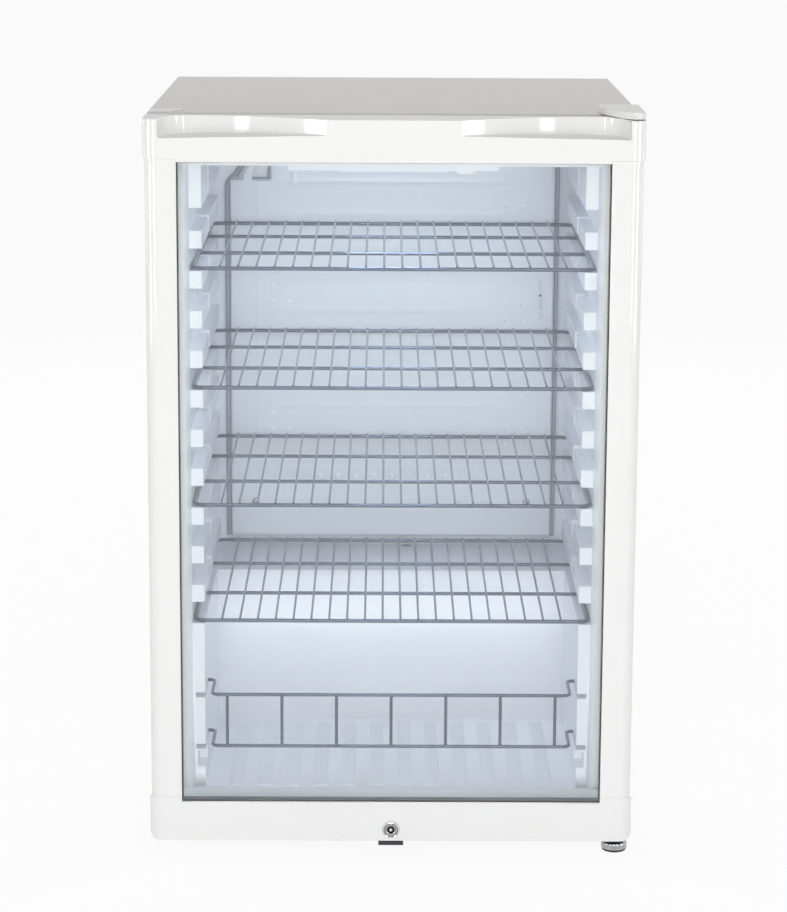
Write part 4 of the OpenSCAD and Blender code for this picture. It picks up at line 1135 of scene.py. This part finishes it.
class FRIDGE_OT_lock(bpy.types.Operator):
    """Make the lock: bezel, plug with keyway, and cam"""

    bl_idname = "fridge.lock"
    bl_label = "Lock"

    def execute(self, context):
        lowest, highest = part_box("lock_barrel")
        middle = (0, 0, (lowest.z + highest.z) / 2)
        y = lowest.y / MM
        rings = [(6.1, y + 4), (6.1, y + 1.6), (6.5, y + 0.9), (7.3, y + 0.9), (7.5, y + 1.5),
                 (7.9, y + 1.5), (8.1, y + 0.3), (8.7, y), (9.4, y + 0.2), (10.0, y + 1.2),
                 (10.3, y + 2.9), (8.2, y + 3.0), (8.2, highest.y / MM), (6.1, highest.y / MM)]
        shell = turned(rings, middle, "Y", 56, closed=True)
        made = piece("lock_bezel", shell, "lock_barrel", ("lock_barrel",), 30)
        # The bezel's bore is painted black: painted shade.
        paint_recess_shade(made, middle, lowest.y + 1.4 * MM)
        lowest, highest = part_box("lock_plug")
        radius = (highest.x - lowest.x) / 2
        centre = (0, 0, lowest.z + radius)
        y = lowest.y
        rings = [(5.9, highest.y / MM), (5.9, y / MM + 0.5), (5.6, y / MM), (4.9, y / MM),
                 (4.6, y / MM + 0.3), (4.5, y / MM + 7), (2.2, y / MM + 7), (2.1, y / MM + 0.8),
                 (1.7, y / MM + 0.3), (0.5, y / MM + 0.15)]
        wider = radius / (6 * MM)
        plug = turned([(r * wider, h) for r, h in rings], centre, "Y", 48)
        nib = block((-0.6 * MM, y + 1 * MM, centre[2] + 2.0 * MM),
                    (0.6 * MM, y + 5 * MM, centre[2] + 3.6 * MM), 0.2)
        made = piece("lock_plug_turned", join([plug, nib]), "lock_plug", ("lock_plug",), 35)
        # The keyway's walls and floor are painted black: painted shade.
        paint_recess_shade(made, centre, y + 0.6 * MM)
        soften("lock_cam", 0.4, 2)
        soften("lock_keeper", 0.5, 2)
        return {"FINISHED"}


class FRIDGE_OT_hinges(bpy.types.Operator):
    """Make the hinge plates, pins, cover and blanking piece"""

    bl_idname = "fridge.hinges"
    bl_label = "Hinges"

    def execute(self, context):
        # The cover and plug take the satin moulding, a little darker: painted shade, as on their
        # tops.
        soften("hinge_cover", 1.2, 4, finish="satin_moulding")
        soften("hinge_hole_plug", 0.5, 3, finish="satin_moulding")
        for kind, width_mm in (("bracket", 0.5), ("pin", 0.4)):
            for end in ("lower", "upper"):
                soften(f"{end}_hinge_{kind}", width_mm, 2)
        return {"FINISHED"}


# ---------------------------------------------------------------- plant and feet


def cross_screw():
    """A pan head, its flat at height 0, with a cross recess."""
    head = turned([(1.0, 2.2), (2.6, 1.9), (3.6, 1.1), (3.8, 0.0), (1.9, 0.0), (1.9, -1.4)],
                  (0, 0, 0), "Z", 20, unit=1)
    for wide, deep in ((1.6, 0.35), (0.35, 1.6)):
        head = cut(head, block((-wide, -deep, 1.2), (wide, deep, 3.4)))
    for v in head.verts:
        v.co *= MM
    return placed("pan_head", plain_mesh(head, "pan_head"))


class FRIDGE_OT_screws(bpy.types.Operator):
    """Make the screws of the back panel and the hinge plates"""

    bl_idname = "fridge.screws"
    bl_label = "Screws"

    def execute(self, context):
        head = cross_screw()
        lowest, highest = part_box("panel_screws")
        y = highest.y - 2 * MM
        x = highest.x - 3.8 * MM
        z0, z1 = lowest.z + 3.8 * MM, highest.z - 3.8 * MM
        spots = [(side * x, y, z) for side in (-1, 1) for z in (z0, (z0 + z1) / 2, z1)]
        made = grown("fittings", "panel_screws",
                     {"Fitting": head, "Turn": (-math.pi / 2, 0, 0)}, spots)
        piece("panel_screw_heads", join([made]), "panel_screws", ("panel_screws",), 35)
        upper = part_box("upper_hinge_bracket")
        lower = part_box("lower_hinge_bracket")
        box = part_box("hinge_screws")
        hinge_x = upper[1].x - 10 * MM
        top = [(hinge_x + dx * MM, upper[1].y - 10 * MM, upper[1].z) for dx in (-18, 2)]
        under = [(hinge_x - 4 * MM, box[0].y + dy * MM, lower[0].z) for dy in (4.6, 39.6)]
        parts = [
            grown("fittings", "hinge_screws", {"Fitting": head, "Turn": (0, 0, 0)}, top),
            grown("fittings", "hinge_screws", {"Fitting": head, "Turn": (math.pi, 0, 0)}, under)]
        piece("hinge_screw_heads", join(parts), "hinge_screws", ("hinge_screws",), 35)
        bpy.data.objects.remove(head)
        return {"FINISHED"}


def threaded(bottom, top, radius):
    """The radii and heights of a thread as close rings, in millimetres."""
    pitch, root = 1.25, radius - 0.45
    rings, z = [], bottom
    while z + pitch <= top:
        rings += [(root, z), (radius, z + 0.5), (radius, z + 0.7), (root, z + 1.2)]
        z += pitch
    return rings + [(root, top)]


class FRIDGE_OT_feet(bpy.types.Operator):
    """Make the levelling feet and the fixed rear feet"""

    bl_idname = "fridge.feet"
    bl_label = "Feet"

    def execute(self, context):
        for node in ("foot_left", "foot_right"):
            lowest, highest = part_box(node)
            centre = ((lowest.x + highest.x) / 2, (lowest.y + highest.y) / 2, 0)
            rings = [(0.5, 2.9), (13.2, 2.9), (14.6, 3.2), (15, 4.0), (15, 8.8), (14.5, 10.0),
                     (12.8, 10.8), (10.4, 11.1), (9.6, 11.6), (5.4, 11.8)]
            rings += threaded(11.9, highest.z / MM, 3.7)
            piece(node + "_turned", turned(rings, centre), node, (node,), 35)
            sole = turned([(0.5, 0.0), (12.2, 0.0), (13.4, 0.5), (14.0, 1.4), (13.8, 2.7),
                           (0.5, 3.0)], centre)
            under = piece(node + "_sole", sole, "rear_feet", (), 35)
            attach(under, BODY_OF[node])
        lowest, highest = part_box("rear_feet")
        rings = [(0.5, 0), (13, 0), (14.6, 0.6), (15, 2), (14, 9), (13.2, 20.6), (12.4, 22),
                 (4, 22), (4, highest.z / MM)]
        parts = [turned(rings, (side * (highest.x - 15 * MM), (lowest.y + highest.y) / 2, 0),
                        sides=40) for side in (-1, 1)]
        piece("rear_feet_moulded", join(parts), "rear_feet", ("rear_feet",), 35)
        return {"FINISHED"}


class FRIDGE_OT_compressor(bpy.types.Operator):
    """Make the compressor, its mounts, starter cover and drip tray"""

    bl_idname = "fridge.compressor"
    bl_label = "Compressor"

    def execute(self, context):
        soften("compressor", 1.0, 3, 50)
        for node, width_mm, segments in (
                ("compressor_grommets", 0.5, 2), ("compressor_bolts", 0.4, 2),
                ("relay_cover", 2.0, 3), ("drip_tray", 0.7, 2), ("drain_tube", 0.3, 2),
                ("mains_gland", 0.4, 2)):
            soften(node, width_mm, segments)
        return {"FINISHED"}


class FRIDGE_OT_pipes(bpy.types.Operator):
    """Make the refrigerant pipes, the filter drier and the capillary"""

    bl_idname = "fridge.pipes"
    bl_label = "Pipes"

    def execute(self, context):
        bend = context.scene.fridge_plant.pipe_bend / MM
        pipe = 3
        r = pipe * MM
        lowest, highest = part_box("compressor")
        shell_x, shell_y = lowest.x, (lowest.y + highest.y) / 2
        plane = low("condenser").y + r
        low_pass = low("condenser").z + 10 * MM - 1e-6
        bay_top = low("back_panel").z

        lowest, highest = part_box("discharge_pipe")
        x, y, z = lowest.x + r, shell_y - 26 * MM, lowest.z + r
        last, over, drop = highest.x - r, bay_top - 22 * MM, low_pass - 16 * MM
        discharge = tube("discharge_pipe", [
            (shell_x, y, z), (x, y, z), (x, y, over), (x, plane, over), (x, plane, drop),
            (last, plane, drop), (last, plane, low_pass - r)], pipe, bend)
        piece("discharge_tube", join([discharge]), "discharge_pipe", ("discharge_pipe",))

        lowest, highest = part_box("suction_pipe")
        back = high("evaporator_plate").y + 3.3 * MM
        corner_x, corner_z, _ = plate_corner()
        deep, exit_x = highest.y - r, -150 * MM
        exit_z, low_z = highest.z - 3.2 * MM, lowest.z + r
        suction = tube("suction_pipe", [
            (corner_x - 41 * MM, back, corner_z - 30 * MM),
            (corner_x - 39 * MM, back, corner_z + 4 * MM),
            (corner_x - 28 * MM, back, corner_z + 22 * MM),
            (exit_x - 10 * MM, back, exit_z - 2 * MM), (exit_x, back, exit_z),
            (exit_x, deep, exit_z), (exit_x, deep, low_z), (exit_x, shell_y, low_z),
            (shell_x, shell_y, low_z)], pipe, 9)
        piece("suction_tube", join([suction]), "suction_pipe", ("suction_pipe",))

        lowest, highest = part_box("filter_drier")
        x, y, over = (lowest.x + highest.x) / 2, lowest.y + 9 * MM, bay_top - 8 * MM
        can = turned([(1.6, 62), (2.2, 63), (3.2, 66), (8, 73), (9, 75.5), (9, 142), (8, 145),
                      (3.4, 153), (3.0, 157)], (x, y, 0), sides=32)
        neck = tube("filter_drier", [
            (x, y, 155 * MM), (x, y, over), (x, plane, over), (x, plane, low_pass - r)], pipe, 8)
        piece("filter_drier_can", join([can, neck]), "filter_drier", ("filter_drier",))

        highest = high("capillary_tube")
        fine = 1.2
        far_x, far_y = highest.x - fine * MM, highest.y - fine * MM
        coil = tube("capillary_tube", [
            (x, y, 62 * MM), (x, y, 50 * MM), (x + 40 * MM, y, 50 * MM),
            (x + 40 * MM, y, 110 * MM), (far_x, y - 20 * MM, 110 * MM), (far_x, far_y, 150 * MM),
            (far_x, far_y, highest.z)], fine, 8, 12)
        piece("capillary_coil", join([coil]), "capillary_tube", ("capillary_tube",))
        return {"FINISHED"}


class FRIDGE_OT_condenser(bpy.types.Operator):
    """Make the wire-on-tube condenser and its clips"""

    bl_idname = "fridge.condenser"
    bl_label = "Condenser"

    def execute(self, context):
        node = "condenser"
        lowest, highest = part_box(node)
        pipe, wire, passes, wires = 3, 0.9, 11, 11
        y = lowest.y + pipe * MM
        x = highest.x - pipe * MM
        z0, z1 = lowest.z + 10 * MM, highest.z - 10 * MM
        pitch = (z1 - z0) / (passes - 1)
        points = []
        for k in range(passes):
            ends = (-x, x) if k % 2 == 0 else (x, -x)
            inner = pitch / 2
            first = ends[0] if k else ends[0] + inner
            last = ends[1] if k < passes - 1 else ends[1] - math.copysign(inner, ends[1])
            points += [(first, y, z0 + k * pitch), (last, y, z0 + k * pitch)]
        parts = [tube(node, points, pipe, pitch / 2 / MM - 0.01),
                 bars(node, wires, (-180 * MM, highest.y - wire * MM, lowest.z), (36 * MM, 0, 0),
                      (0, 0, highest.z - lowest.z), wire, 8)]
        piece("condenser_coil", join(parts), node, (node,))
        soften("condenser_clips", 0.6, 2)
        return {"FINISHED"}


# ---------------------------------------------------------------- panel and start

SETTINGS = {
    "fridge_cabinet": CabinetSettings,
    "fridge_door": DoorSettings,
    "fridge_interior": InteriorSettings,
    "fridge_plant": PlantSettings,
    "fridge_stage": StageSettings,
}
STEPS = [
    FRIDGE_OT_stage, FRIDGE_OT_casing, FRIDGE_OT_liner, FRIDGE_OT_evaporator,
    FRIDGE_OT_shelves, FRIDGE_OT_guard_rail, FRIDGE_OT_controls, FRIDGE_OT_door_frame,
    FRIDGE_OT_glazing, FRIDGE_OT_lock, FRIDGE_OT_hinges, FRIDGE_OT_screws, FRIDGE_OT_feet,
    FRIDGE_OT_compressor, FRIDGE_OT_pipes, FRIDGE_OT_condenser,
]


class FRIDGE_PT_panel(bpy.types.Panel):
    """Lists the refrigerator's steps and settings."""

    bl_idname = "FRIDGE_PT_panel"
    bl_label = "Refrigerator"
    bl_space_type = "VIEW_3D"
    bl_region_type = "UI"
    bl_category = "Refrigerator"

    def draw(self, context):
        for step in STEPS:
            self.layout.operator(step.bl_idname)
        for name, group in SETTINGS.items():
            box = self.layout.box()
            for field in group.__annotations__:
                box.prop(getattr(context.scene, name), field)


CLASSES = [*SETTINGS.values(), *STEPS, FRIDGE_PT_panel]


def register():
    for made in CLASSES:
        bpy.utils.register_class(made)
    for name, group in SETTINGS.items():
        setattr(bpy.types.Scene, name, bpy.props.PointerProperty(type=group))


def unregister():
    for name in SETTINGS:
        delattr(bpy.types.Scene, name)
    for made in reversed(CLASSES):
        bpy.utils.unregister_class(made)


def main():
    register()
    for step in STEPS:
        group, action = step.bl_idname.split(".")
        getattr(getattr(bpy.ops, group), action)()


if __name__ == "__main__":
    main()
